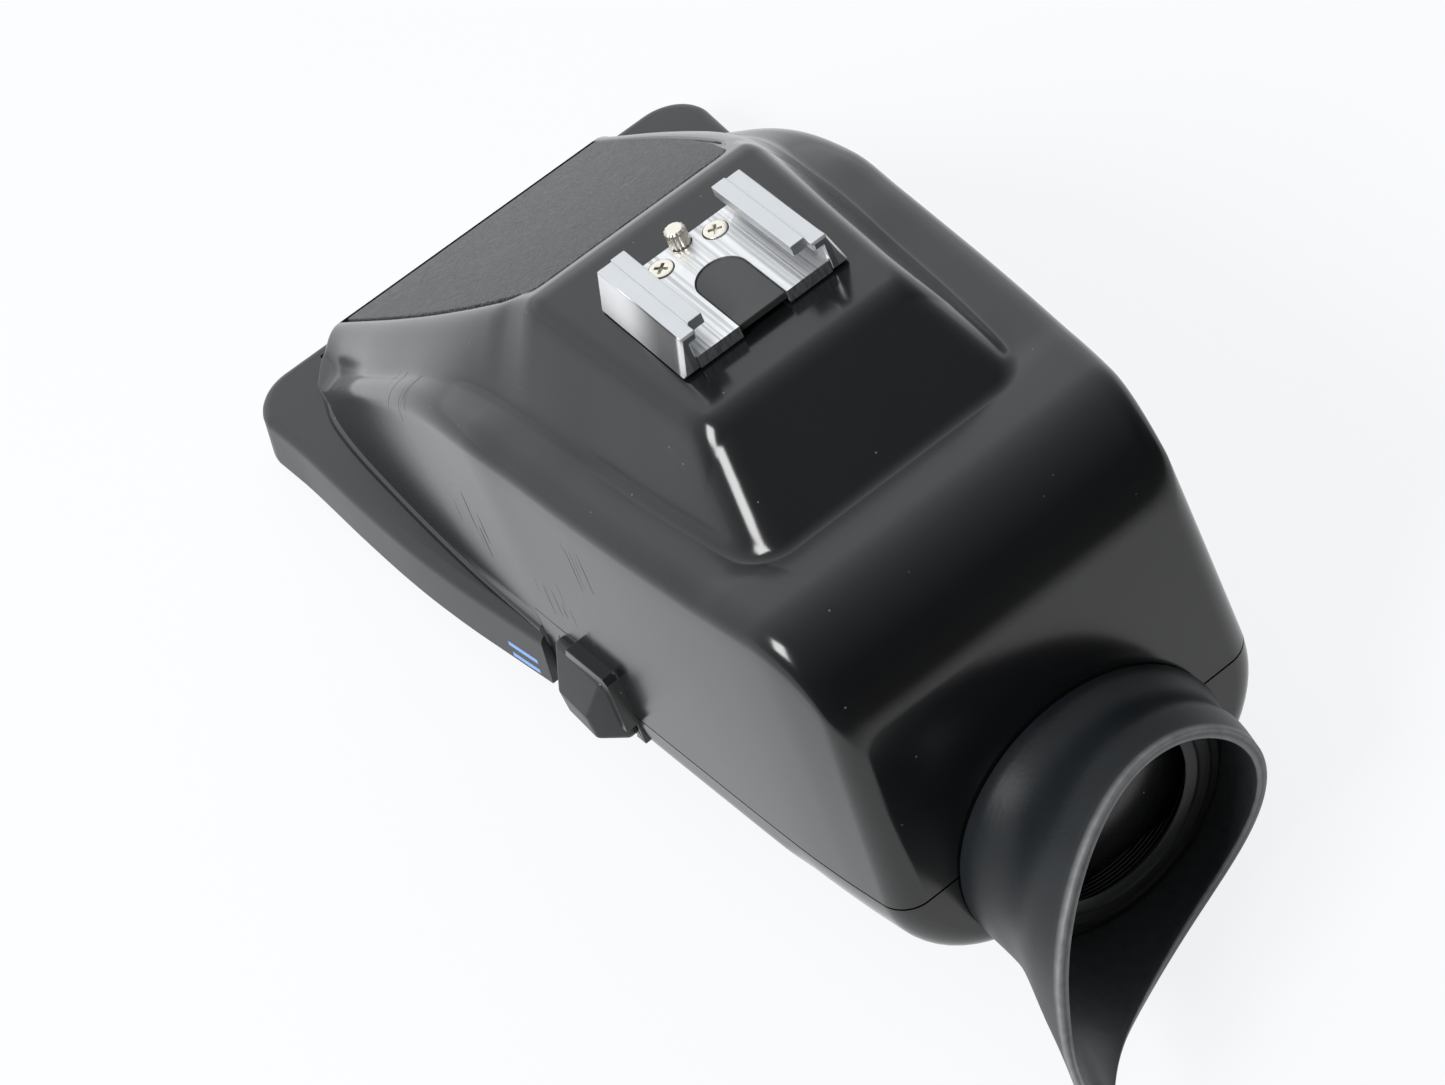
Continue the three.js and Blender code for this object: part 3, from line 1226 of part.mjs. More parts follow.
// Stop pin with fine flutes round it
const flutes = new THREE.Shape();
const fluteSteps = PIN_FLUTES * 2;
for (let step = 0; step < fluteSteps; step += 1) {
  const angle = step * 2 * Math.PI / fluteSteps;
  const radius = PIN_DIAMETER / 2 - (step % 2) * PIN_FLUTE_DEPTH;
  const place = [radius * Math.cos(angle), pinY + radius * Math.sin(angle)];
  if (step === 0) flutes.moveTo(...place);
  else flutes.lineTo(...place);
}
flutes.closePath();
addPiece('shoe_stop_pin', slab(flutes, backingBottom, pinTop), nickel());

const backingRear = shoeFront - BACKING_LENGTH;
const backingY = [backingRear, shoeFront + BACKING_THICKNESS];
const backingX = [-BACKING_WIDTH / 2, BACKING_WIDTH / 2];
const backing = block(backingX, backingY, [backingBottom, backingTop]).subtract(fixingHoles);
addPiece('shoe_backing_plate', backing, springSteel());

// Roof prism: the tightest skin round its corners, grown evenly where a fit needs it
const prismExitWidthShare = 0.735;
const prismRoofWidthShare = 0.49;
const prismNoseWidthShare = 0.78;
const prismNoseHeightShare = 0.36;
const prismShoulderHeightShare = 0.771;
const prismSideHeightShare = 0.625;
const prismRoofRearShare = 0.95;
const prismRidge = PLATEAU_HEIGHT - PRISM_RIDGE_DROP;
const prismEntry = coverFootOnFrame + CRADLE_THICKNESS + GAP;
const prismFoot = SHELL_WALL - SHELL_DEPTH + GAP;
const prismFrontTop = slopeHeight(openingFront) - PRISM_CLEARANCE;
const prismNose = prismEntry + prismNoseHeightShare * (prismFrontTop - prismEntry);
const entryHalf = openingWidth / 2 - PRISM_SET_IN;
const exitHalf = entryHalf * prismExitWidthShare;
const roofHalf = entryHalf * prismRoofWidthShare;
const cradleRear = -OPENING_REAR - CRADLE_REAR_LEDGE;
const prismCorners = [
  [entryHalf, openingFront, prismEntry],
  [entryHalf, openingFront, prismNose],
  [entryHalf * prismNoseWidthShare, openingFront, prismFrontTop],
  [entryHalf, cradleRear, prismEntry],
  [roofHalf, -RIDGE + HUMP_ROUND, prismRidge],
  [entryHalf, -RIDGE + HUMP_ROUND * 2, SHOULDER_HEIGHT * prismShoulderHeightShare],
  [entryHalf, -STRAP_REAR, SHOULDER_HEIGHT * prismSideHeightShare],
  [roofHalf, -PRISM_EXIT + HUMP_ROUND, prismRidge * prismRoofRearShare],
  [exitHalf, -PRISM_EXIT, PRISM_EXIT_HEIGHT],
  [exitHalf, -PRISM_EXIT, prismEntry],
];
const exitBlockCorners = [
  [exitHalf, -PRISM_EXIT, PRISM_EXIT_HEIGHT],
  [exitHalf, -PRISM_EXIT, prismFoot],
  [exitHalf, -PRISM_STEP_REAR, prismFoot],
  [exitHalf, -PRISM_STEP_FRONT, prismEntry],
  [exitHalf, -PRISM_STEP_FRONT, PRISM_EXIT_HEIGHT],
];

function prismForm(growth) {
  const around = (corner) => (growth > 0 ? ball(corner, growth) : [new THREE.Vector3(...corner)]);
  const body = hull(bothSides(prismCorners.flatMap(around)));
  return body.add(hull(bothSides(exitBlockCorners.flatMap(around))));
}

addPiece('roof_prism', prismForm(0), glass());

// Cradle: a folded sheet under the prism with a cheek on each side
const cradleHalf = openingWidth / 2 + CRADLE_SIDE_LEDGE;
const cradleFront = openingFront + CRADLE_FRONT_LEDGE;
const cradleFloor = [coverFootOnFrame, coverFootOnFrame + CRADLE_THICKNESS];
const cheekHeightShare = 0.3125;
const cradleTop = coverFootOnFrame + cheekHeightShare * SHOULDER_HEIGHT;
const bossClearance = joined(frameScrews.map(([, x, y]) => (
  upright(BOSS_DIAMETER + 2 * GAP, x, y, 0, cradleTop)
)));
const cradle = block([-cradleHalf, cradleHalf], [cradleRear, cradleFront], cradleFloor)
  .add(block([-cradleHalf, cradleHalf], [-CHEEK_REAR, CHEEK_FRONT], [coverFootOnFrame, cradleTop]))
  .subtract(block(
    [-cradleHalf + CRADLE_THICKNESS, cradleHalf - CRADLE_THICKNESS],
    [-faraway, faraway],
    [coverFootOnFrame + CRADLE_THICKNESS, faraway],
  ))
  .subtract(openingCut(0, 0, cradleTop))
  .subtract(bossClearance);

// Strap over the prism, its two legs tucked inside the cheeks, and the screws that hold it
const strapSkin = prismForm(GAP + STRAP_THICKNESS)
  .subtract(prismForm(GAP))
  .intersect(block([-faraway, faraway], [-STRAP_REAR, -STRAP_FRONT], [cradleTop - STRAP_LEG, faraway]));
const strapScrewY = -(STRAP_REAR + STRAP_FRONT) / 2;
const strapScrewZ = cradleTop - STRAP_LEG / 2;
const legInner = entryHalf + GAP;
const strapHole = sideways(STRAP_SCREW_SHANK + 2 * GAP, -faraway, faraway, strapScrewY, strapScrewZ)
  .subtract(prismForm(GAP));
addPiece('prism_strap', strapSkin.subtract(strapHole), springSteel());
addPiece('prism_cradle', cradle.subtract(strapHole), springSteel());
const headInner = cradleHalf + GAP / 2;
const headOuter = headInner + STRAP_SCREW_HEAD_THICKNESS;
const padInner = entryHalf + GAP / 2;
const padLevels = [coverFootOnFrame + CRADLE_THICKNESS + GAP, cradleTop - STRAP_LEG - GAP];
const sidePieces = [
  ['strap_screw', sideways(STRAP_SCREW_HEAD, headInner, headOuter, strapScrewY, strapScrewZ)
    .add(sideways(STRAP_SCREW_SHANK, legInner, headInner + GAP, strapScrewY, strapScrewZ)), nickel],
  ['prism_pad', block(
    [padInner, padInner + PAD_THICKNESS],
    [-CHEEK_REAR + GAP, CHEEK_FRONT - GAP],
    padLevels,
  ), foam],
];
for (const [name, right, material] of sidePieces) {
  addPiece(`${name}_right`, right, material());
  addPiece(`${name}_left`, right.mirror([1, 0, 0]), material());
}

export default finder;
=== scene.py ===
import math
from bisect import bisect_right

import bmesh
import bpy
from mathutils import Matrix, Vector


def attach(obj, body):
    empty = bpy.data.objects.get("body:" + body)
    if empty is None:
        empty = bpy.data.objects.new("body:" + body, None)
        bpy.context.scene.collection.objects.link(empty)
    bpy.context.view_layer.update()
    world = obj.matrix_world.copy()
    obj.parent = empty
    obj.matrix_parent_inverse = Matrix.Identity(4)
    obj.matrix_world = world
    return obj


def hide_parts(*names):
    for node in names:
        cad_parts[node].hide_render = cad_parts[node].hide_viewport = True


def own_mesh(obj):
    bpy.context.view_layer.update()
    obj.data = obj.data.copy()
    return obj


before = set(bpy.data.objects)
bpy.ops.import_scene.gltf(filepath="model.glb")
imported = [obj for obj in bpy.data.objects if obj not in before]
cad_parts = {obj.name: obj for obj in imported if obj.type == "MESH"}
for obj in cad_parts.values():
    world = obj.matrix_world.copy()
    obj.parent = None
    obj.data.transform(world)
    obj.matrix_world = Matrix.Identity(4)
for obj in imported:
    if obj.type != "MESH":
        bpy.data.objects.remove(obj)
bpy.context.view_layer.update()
scene = bpy.context.scene
scene.view_settings.view_transform = "Standard"
MM = 0.001


# The finder lies on a white table, tilted back, because the collar of its eyepiece hangs
# lower than the flange that sits on a camera. It touches the table at the flange's front
# edge and under the collar. The table runs on far behind it, so that nothing else shows.

FLANGE_FRONT = Vector((0, 0.0388, 0))
COLLAR_FOOT = Vector((0, -0.0894, -0.0178))
TABLE_HALF = 2.5
TABLE_GAP = Vector((0, 0, 0.0002))
tilt = math.atan2(FLANGE_FRONT.z - COLLAR_FOOT.z, FLANGE_FRONT.y - COLLAR_FOOT.y)

table_mesh = bmesh.new()
bmesh.ops.create_grid(table_mesh, x_segments=8, y_segments=8, size=TABLE_HALF)
bmesh.ops.transform(
    table_mesh,
    matrix=Matrix.Translation(FLANGE_FRONT - TABLE_GAP) @ Matrix.Rotation(tilt, 4, "X"),
    verts=table_mesh.verts,
)
table_data = bpy.data.meshes.new("table")
table_mesh.to_mesh(table_data)
table_mesh.free()
table = bpy.data.objects.new("table", table_data)
scene.collection.objects.link(table)


# Camera: above, behind and to the left of the finder, as the photograph was taken. The focal
# length is given in pixels of the photograph, which is 1445 pixels wide.

SENSOR_WIDTH = 36
FOCAL_PIXELS = 3602
PHOTO_WIDTH = 1445

camera_data = bpy.data.cameras.new("camera")
camera_data.sensor_width = SENSOR_WIDTH
camera_data.lens = SENSOR_WIDTH * FOCAL_PIXELS / PHOTO_WIDTH
camera_data.clip_start = 0.01
camera_data.clip_end = 20
camera = bpy.data.objects.new("camera", camera_data)
camera.location = (-0.09852115, -0.35409491, 0.31849195)
camera.rotation_euler = (0.7570904105, 0.3180745774, -0.6015954788)
scene.collection.objects.link(camera)
scene.camera = camera


# Light: a small window on the left draws the thin bright lines on the moulded edges. The white
# table lights the sides of the finder from below.

def soft_lamp(name, place, size, power):
    data = bpy.data.lights.new(name, "AREA")
    data.shape = "RECTANGLE"
    data.size, data.size_y = size
    data.energy = power
    lamp = bpy.data.objects.new(name, data)
    lamp.location = place
    lamp.rotation_euler = (-Vector(place)).to_track_quat("-Z", "Y").to_euler()
    scene.collection.objects.link(lamp)


soft_lamp("window", (-1.05, -0.36, 0.98), (0.50, 0.60), 17)


# Finishes are written as sums of patterns. A Socket is one output of a material's nodes, and
# arithmetic on it adds the Math nodes. Patterns read the metre coordinates of the finder.

class Socket:
    def __init__(self, tree, socket):
        self.tree = tree
        self.socket = socket

    def node(self, kind, settings, inputs, output=0):
        made = self.tree.nodes.new("ShaderNode" + kind)
        for name, value in settings.items():
            setattr(made, name, value)
        for name, value in inputs.items():
            if isinstance(value, Socket):
                self.tree.links.new(value.socket, made.inputs[name])
            else:
                made.inputs[name].default_value = value
        return Socket(self.tree, made.outputs[output])

    def maths(self, operation, *operands):
        return self.node("Math", {"operation": operation}, dict(enumerate(operands)))

    def __add__(self, other):
        return self.maths("ADD", self, other)

    def __sub__(self, other):
        return self.maths("SUBTRACT", self, other)

    def __rsub__(self, other):
        return self.maths("SUBTRACT", other, self)

    def __mul__(self, other):
        return self.maths("MULTIPLY", self, other)

    def __gt__(self, other):
        return self.maths("GREATER_THAN", self, other)

    def __lt__(self, other):
        return self.maths("LESS_THAN", self, other)

    def __abs__(self):
        return self.maths("ABSOLUTE", self)

    __radd__ = __add__
    __rmul__ = __mul__

    def clouds(self, per_metre, detail=3.0):
        return self.node("TexNoise", {}, {"Vector": self, "Scale": per_metre, "Detail": detail})

    def cells(self, per_metre, feature="F1", output="Distance"):
        return self.node("TexVoronoi", {"feature": feature}, {"Vector": self, "Scale": per_metre}, output)

    def stretched(self, x, y, z):
        return self.node("VectorMath", {"operation": "MULTIPLY"}, {0: self, 1: (x, y, z)})

    def between(self, low, high):
        return self.node("MapRange", {"clamp": True}, {0: self, 1: low, 2: high})

    def part(self, axis):
        return self.node("SeparateXYZ", {}, {0: self}, axis)

    def shade(self, dark, light):
        return self.node("Mix", {"data_type": "RGBA"}, {0: self, 6: (*dark, 1), 7: (*light, 1)}, 2)

    def over(self, under, colour):
        return self.node("Mix", {"data_type": "RGBA"}, {0: self, 6: under, 7: (*colour, 1)}, 2)

    def relief(self, depth):
        return self.node("Bump", {}, {"Height": self * depth, "Distance": 1.0, "Strength": 1.0})

    def surface(self, colour, roughness, normal, **constants):
        inputs = {"Base Color": colour, "Roughness": roughness, "Normal": normal}
        inputs.update({name.replace("_", " "): value for name, value in constants.items()})
        return self.node("BsdfPrincipled", {}, inputs)


def finish(name, look):
    material = bpy.data.materials.new(name)
    material.use_nodes = True
    tree = material.node_tree
    tree.nodes.clear()
    place = Socket(tree, tree.nodes.new("ShaderNodeTexCoord").outputs["Object"])
    out = tree.nodes.new("ShaderNodeOutputMaterial")
    tree.links.new(look(place).socket, out.inputs["Surface"])
    return material


def white_table(place):
    """White paper. Its part behind the finder, below the camera, is painted dark in glossy reflections:
    painted shade for the darkness behind the camera.
    """
    faint = place.clouds(3.0).shade((0.82, 0.83, 0.85), (0.87, 0.88, 0.90))
    grain = place.clouds(900.0).relief(0.00002)
    paper = place.surface(faint, 0.6, grain)
    camera_ray, glossy_ray, clear_ray = (
        place.node("LightPath", {}, {}, f"Is {ray} Ray") for ray in ("Camera", "Glossy", "Transmission")
    )
    # Painted shade: glossy rays see the table's far part behind the finder as near black, for the dark
    # room behind the camera.
    painted_shade_behind = glossy_ray * (1 - place.part(1).between(-0.230, -0.165))
    tone = painted_shade_behind.shade((0.98, 0.985, 1.0), (0.06, 0.06, 0.06))
    glow = place.node("Emission", {}, {"Color": tone, "Strength": 1.0})
    seen = (camera_ray + glossy_ray + clear_ray).between(0, 1)
    return place.node("MixShader", {}, {0: seen * 0.86 + painted_shade_behind * 0.12, 1: paper, 2: glow})


table_data.materials.append(finish("white_table", white_table))


# The room: bright in front of the finder, dimmer above it and dark behind the camera, so that
# each face of the lacquer takes its tone from the side that it looks to.

world = bpy.data.worlds.new("room")
scene.world = world
world.use_nodes = True
room_tree = world.node_tree
towards = Socket(room_tree, room_tree.nodes.new("ShaderNodeTexCoord").outputs["Generated"])
ahead = towards.part(1).between(-0.85, 0.80)
brightness = ahead * ahead * 1.30 + towards.part(2).between(0.25, 0.95) * 0.30 + 0.06
background = room_tree.nodes["Background"]
background.inputs["Color"].default_value = (0.95, 0.98, 1.0, 1)
room_tree.links.new(brightness.socket, background.inputs["Strength"])


# Mount frame: the cast alloy flange that sits on the camera, machined flat below, with drafted
# sides and the screen opening. Its front corners are wide arcs and its top edge is rounded.

FRAME_HEIGHT = 8.0
FRAME_DRAFT = 0.12
FRAME_SIDE = [
    (33.3, -35.5), (34.4, -28), (35.9, -17.3), (37.0, -6), (37.6, 7), (37.9, 21), (38.2, 28),
]
FRAME_REAR = -35.5
FRAME_BEND = 27.0
FRAME_SWELL = 0.35
FRAME_CORNER = 7.0
FRAME_ROUND = 1.8
FRAME_FRONT = 37.8
OPENING_WIDTH, OPENING_LENGTH = 50.0, 40.0
OPENING_MIDDLE = -7.0
OPENING_CORNER = 2.0
INDEX_LINES = [(0.0024, -0.0332, -0.0272), (0.0007, -0.0331, -0.0276)]
INDEX_HALF_WIDTH = 0.00034


def keep(bm, name, body, slot, material, *replaced, sharp=34, flat=False):
    """Makes a piece of the finder from a mesh in millimetres. The faces of a flat piece shade level."""
    bmesh.ops.transform(bm, matrix=Matrix.Scale(MM, 4), verts=bm.verts)
    data = bpy.data.meshes.new(name)
    bm.to_mesh(data)
    bm.free()
    data.materials.append(material)
    data.shade_smooth()
    data.set_sharp_from_angle(angle=math.radians(sharp))
    piece = bpy.data.objects.new(name, data)
    scene.collection.objects.link(piece)
    if flat:
        level = piece.modifiers.new("flat_faces", "WEIGHTED_NORMAL")
        level.keep_sharp = True
    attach(piece, body)
    if replaced:
        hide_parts(*replaced)
    return piece


def dress(material, *names):
    """Gives carried-over pieces their finish."""
    for name in names:
        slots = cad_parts[name].data.materials
        slots.clear()
        slots.append(material)


def arc(centre, radius, start, end, steps):
    """Points on a round corner, from one angle to another in degrees."""
    angles = [math.radians(start + (end - start) * i / steps) for i in range(steps + 1)]
    return [(centre[0] + radius * math.cos(a), centre[1] + radius * math.sin(a)) for a in angles]


def ring_of(bm, points, z):
    """A closed loop of edges through (x, y) points at one height."""
    made = [bm.verts.new((x, y, z)) for x, y in points]
    return [bm.edges.new(pair) for pair in zip(made, made[1:] + made[:1])]


def flowing(rows):
    """A smooth curve through (place, size) pairs."""
    places = [row[0] for row in rows]
    sizes = [row[1] for row in rows]
    last = len(rows) - 1

    def slope(i):
        a, b = max(i - 1, 0), min(i + 1, last)
        return (sizes[b] - sizes[a]) / (places[b] - places[a])

    def at(place):
        i = min(max(bisect_right(places, place) - 1, 0), last - 1)
        span = places[i + 1] - places[i]
        t = (place - places[i]) / span
        if t < 0 or t > 1:
            return sizes[0] if t < 0 else sizes[last]
        h = t * t * (3 - 2 * t)
        bend = t * (1 - t) * span
        return sizes[i] * (1 - h) + sizes[i + 1] * h + bend * ((1 - t) * slope(i) - t * slope(i + 1))

    return at


def cast_black(place):
    """Cast and painted, with two plain light blue index lines on the left side."""
    x, y, z = (place.part(axis) for axis in range(3))
    upper, lower = (
        (abs(z - height) < INDEX_HALF_WIDTH) * (y > rear) * (y < front)
        for height, rear, front in INDEX_LINES
    )
    lines = upper + lower
    speck = place.cells(2600.0)
    skin = place.clouds(1400.0, 2.0) * 0.5 + speck * 0.5
    rough = place.clouds(60.0) * 0.10 + 0.30
    colour = place.clouds(35.0).shade((0.010, 0.011, 0.012), (0.016, 0.017, 0.018))
    colour = (lines * (x < -0.030)).over(colour, (0.18, 0.36, 0.74))
    return place.surface(colour, rough, skin.relief(0.00001))


frame_side = flowing([(y, x) for x, y in FRAME_SIDE])
side_rows = [FRAME_REAR + (FRAME_BEND - FRAME_REAR) * i / 24 for i in range(25)]
side = [(frame_side(y), y) for y in side_rows]
corner_x = frame_side(FRAME_BEND) + FRAME_SWELL
front = arc((corner_x - FRAME_CORNER, FRAME_FRONT - FRAME_CORNER), FRAME_CORNER, 0, 90, 14)
right = side[:-1] + front
outline = right + [(-x, y) for x, y in reversed(right)]
opening = []
across = OPENING_WIDTH / 2 - OPENING_CORNER
along = OPENING_LENGTH / 2 - OPENING_CORNER
for start, (sx, sy) in zip((0, 90, 180, 270), ((1, 1), (-1, 1), (-1, -1), (1, -1))):
    centre = (sx * across, OPENING_MIDDLE + sy * along)
    opening += arc(centre, OPENING_CORNER, start, start + 90, 6)


def drawn_in(points, by):
    """The outline moved inwards all round but for its straight rear edge."""
    moved = []
    for i, (x, y) in enumerate(points):
        if y < FRAME_REAR + 0.1:
            moved.append((x - math.copysign(by, x), y))
            continue
        along = Vector(points[(i + 1) % len(points)]) - Vector(points[i - 1])
        along.normalize()
        moved.append((x - along.y * by, y + along.x * by))
    return moved


bm = bmesh.new()
spread = FRAME_HEIGHT * FRAME_DRAFT
foot = [
    (x + spread * max(-1, min(1, x / 20)), y + spread * max(0, min(1, (y - 28) / 6)))
    for x, y in outline
]
rings = [ring_of(bm, foot, 0)]
for turn in range(0, 91, 15):
    a = math.radians(turn)
    height = FRAME_HEIGHT - FRAME_ROUND * (1 - math.sin(a))
    rings.append(ring_of(bm, drawn_in(outline, FRAME_ROUND * (1 - math.cos(a))), height))
for low, high in zip(rings, rings[1:]):
    bmesh.ops.bridge_loops(bm, edges=low + high)
opening_top, opening_foot = ring_of(bm, opening, FRAME_HEIGHT), ring_of(bm, opening, 0)
bmesh.ops.bridge_loops(bm, edges=opening_top + opening_foot)
for edge, hole in ((rings[-1], opening_top), (rings[0], opening_foot)):
    bmesh.ops.triangle_fill(bm, use_beauty=True, use_dissolve=False, edges=edge + hole)
bmesh.ops.recalc_face_normals(bm, faces=bm.faces)
cast_finish = finish("cast_black", cast_black)
keep(bm, "mount_flange", "housing", "cast_black", cast_finish, "mount_frame", flat=True)


# In the opening: a glass pane, a black mask over it and a foam strip round it. Four screws come
# up through the flange into the cover, and two more hold the shell behind it.

def soft_foam(place):
    pores = place.cells(3500.0)
    colour = pores.shade((0.004, 0.004, 0.004), (0.015, 0.015, 0.016))
    return place.surface(colour, place.clouds(400.0) * 0.1 + 0.88, pores.relief(0.0002))


def clear_glass(place):
    film = place.clouds(90.0) * 0.03 + 0.01
    tint = place.clouds(40.0).shade((0.93, 0.97, 0.97), (0.98, 1.0, 1.0))
    ripple = place.clouds(60.0).relief(0.0000004)
    return place.surface(tint, film, ripple, IOR=1.52, Transmission_Weight=1.0)


def matt_black(place):
    fleck = place.clouds(1500.0)
    colour = fleck.shade((0.004, 0.004, 0.005), (0.010, 0.010, 0.011))
    return place.surface(colour, place.clouds(200.0) * 0.12 + 0.72, fleck.relief(0.00003))


def steel(place):
    lines = place.stretched(1, 1, 0.2).clouds(2500.0)
    colour = place.clouds(300.0).shade((0.33, 0.34, 0.35), (0.46, 0.47, 0.49))
    return place.surface(colour, lines * 0.18 + 0.24, lines.relief(0.000004), Metallic=1.0)


glass_finish = finish("prism_glass", clear_glass)
matt_finish = finish("matt_black", matt_black)
foam_finish = finish("foam", soft_foam)
steel_finish = finish("steel", steel)
dress(glass_finish, "entry_window", "roof_prism")
dress(foam_finish, "light_seal", "prism_pad_left", "prism_pad_right")
dress(matt_finish, "entry_mask", "prism_cradle", "prism_strap")
dress(
    steel_finish, "frame_screw_front_left", "frame_screw_front_right", "frame_screw_rear_left",
    "frame_screw_rear_right", "shell_screw_left", "shell_screw_right", "strap_screw_left",
    "strap_screw_right", "lever_pin", "lock_lever", "shoe_backing_plate",
)


# Lower shell: a black moulded tray behind the flange, with full round edges, that swells down
# into a sump round the eyepiece. Its upper edge meets the cover along a thin dark seam.

SEAM = 5.6
SEAM_GAP = 0.3
EYE_HEIGHT = 0.8
SHELL_MIDDLE = -99.5
SHELL_FRONT = -35.8
SHELL_BOTTOM = -2.6
SHELL_ROUND = 5.0
SUMP_START = -81.5
SUMP_RUN = 5.5
SUMP_ROUND = 16.7
SUMP_FLAT = 8.7
SUMP_TOP = 4.8
REAR_FACE = -104.5
REAR_CORNER_FOOT = 3.6
REAR_CORNER_TOP = 1.8
REAR_CORNER_RUN = 42
SHELL_REAR_ROUND = 3
SHELL_LIFT_SPAN = 17
BASE_HALF = flowing([
    (-106, 26.0), (-102, 26.4), (-94.9, 27.5), (-86.5, 28.5), (-66.5, 30.1), (-46, 31.6),
    (-36, 32.2), (-17, 33.2), (9.5, 33.4), (24, 33.2), (29.5, 33.0), (30.8, 32.6),
    (33.8, 27.6), (34.5, 26.8),
])


def gloss_black(place):
    """Moulded and lacquered: deep black, a faint orange peel, a little dust and a few scuffs."""
    peel = place.clouds(260.0, 2.0)
    dust_cell = place.cells(420.0, output="Color").part(0)
    dust = (place.cells(420.0) < 0.05) * (dust_cell > 0.70)
    worn = place.clouds(45.0)
    streak = place.stretched(0.6, 24.0, 1.2).clouds(60.0, 1.0) > 0.70
    reach = (place.part(0) < -0.026) * (place.part(1) > -0.080)
    scuff = streak * (place.clouds(34.0, 1.0) > 0.52) * reach
    rough = worn * 0.08 + 0.13 + dust * 0.4 + scuff * 0.30
    colour = worn.shade((0.0050, 0.0055, 0.0060), (0.0080, 0.0085, 0.0090))
    colour = (scuff * 0.4).over(colour, (0.030, 0.030, 0.030))
    colour = (dust * 0.6).over(colour, (0.20, 0.20, 0.19))
    return place.surface(colour, rough, peel.relief(0.000006))


def clamp(value):
    return min(1, max(0, value))


def rear_corner(x, y, z):
    """Draws a wall point in where the wall rounds into the rear face."""
    share = clamp((z - SEAM) / REAR_CORNER_RUN)
    radius = REAR_CORNER_FOOT + (REAR_CORNER_TOP - REAR_CORNER_FOOT) * share
    reach = REAR_FACE + radius - y
    if reach <= 0:
        return x
    drawn = radius - math.sqrt(max(0, radius ** 2 - min(reach, radius) ** 2))
    half = BASE_HALF(y)
    return x * (half - drawn) / half


def skin(rows):
    """A sheet through half sections of (x, z) points at (y, half section), mirrored across the middle."""
    bm = bmesh.new()
    across = 2 * len(rows[0][1]) - 2
    bmesh.ops.create_grid(bm, x_segments=across, y_segments=len(rows) - 1, size=1)
    for vert in bm.verts:
        i = round((vert.co.x + 1) / 2 * across)
        y, half = rows[round((vert.co.y + 1) / 2 * (len(rows) - 1))]
        x, z = half[abs(i - across // 2)]
        vert.co = (math.copysign(x, i - across / 2) if x else 0, y, z)
    return bm


def close_end(bm, y):
    """Closes the sheet with one flat face at its end."""
    rim = [e for e in bm.edges if e.is_boundary and all(abs(v.co.y - y) < 0.001 for v in e.verts)]
    bmesh.ops.contextual_create(bm, geom=rim)


def shell_section(y):
    """Half of the tray's outline at one place: shallow in front, and a sump at the eyepiece."""
    half = BASE_HALF(y)
    top = SEAM - SEAM_GAP
    deep = clamp((SUMP_START - y) / SUMP_RUN)
    deep = deep * deep * (3 - 2 * deep)
    flat = [(half - SHELL_ROUND) * i / 10 for i in range(10)]
    shallow = [(x, SHELL_BOTTOM) for x in flat]
    shallow += arc((half - SHELL_ROUND, SHELL_BOTTOM + SHELL_ROUND), SHELL_ROUND, -90, 0, 16)
    wall_foot = SHELL_BOTTOM + SHELL_ROUND
    shallow += [(half, wall_foot + (top - wall_foot) * i / 4) for i in (1, 2, 3, 4)]
    sump = [(SUMP_FLAT * i / 10, SUMP_TOP - SUMP_ROUND) for i in range(10)]
    sump += arc((SUMP_FLAT, SUMP_TOP), SUMP_ROUND, -90, 0, 16)
    sump = [(x * half / (SUMP_FLAT + SUMP_ROUND), z) for x, z in sump]
    sump += [(half, SUMP_TOP + (top - SUMP_TOP) * i / 4) for i in (1, 2, 3, 4)]
    end = max(0, REAR_FACE + SHELL_REAR_ROUND - y)
    lift = SHELL_REAR_ROUND - math.sqrt(max(0, SHELL_REAR_ROUND ** 2 - end * end))
    points = []
    for (xa, za), (xb, zb) in zip(shallow, sump):
        x, z = xa + (xb - xa) * deep, za + (zb - za) * deep
        z = top + (z - top) * (1 - lift / SHELL_LIFT_SPAN)
        points.append((rear_corner(x, y, SEAM), z))
    return points


shell_rows = [
    REAR_FACE + REAR_CORNER_FOOT * (1 - math.cos(math.radians(a))) for a in range(0, 91, 5)
]
shell_rows += [SHELL_MIDDLE + (SHELL_FRONT - SHELL_MIDDLE) * i / 60 for i in range(1, 61)]
bm = skin([(y, shell_section(y)) for y in shell_rows])
close_end(bm, REAR_FACE)
close_end(bm, shell_rows[-1])


def turned(profile, steps=96):
    """A ring turned about the eyepiece axis from a closed outline of (radius, y) points."""
    bm = bmesh.new()
    outline = [bm.verts.new((r, y, EYE_HEIGHT)) for r, y in profile]
    edges = [bm.edges.new(pair) for pair in zip(outline, outline[1:] + outline[:1])]
    bmesh.ops.spin(
        bm, geom=outline + edges, cent=(0, 0, EYE_HEIGHT), axis=(0, 1, 0),
        angle=math.tau, steps=steps, use_merge=True,
    )
    bmesh.ops.remove_doubles(bm, verts=bm.verts, dist=0.0005)
    bmesh.ops.recalc_face_normals(bm, faces=bm.faces)
    return bm


def join_half(bm, ring, cut, keep_above):
    """Adds the upper or lower half of a ring to a piece."""
    geom = ring.verts[:] + ring.edges[:] + ring.faces[:]
    bmesh.ops.bisect_plane(
        ring, geom=geom, plane_co=(0, 0, cut), plane_no=(0, 0, 1),
        clear_inner=keep_above, clear_outer=not keep_above,
    )
    carried = bpy.data.meshes.new("half")
    ring.to_mesh(carried)
    ring.free()
    bm.from_mesh(carried)
    bpy.data.meshes.remove(carried)


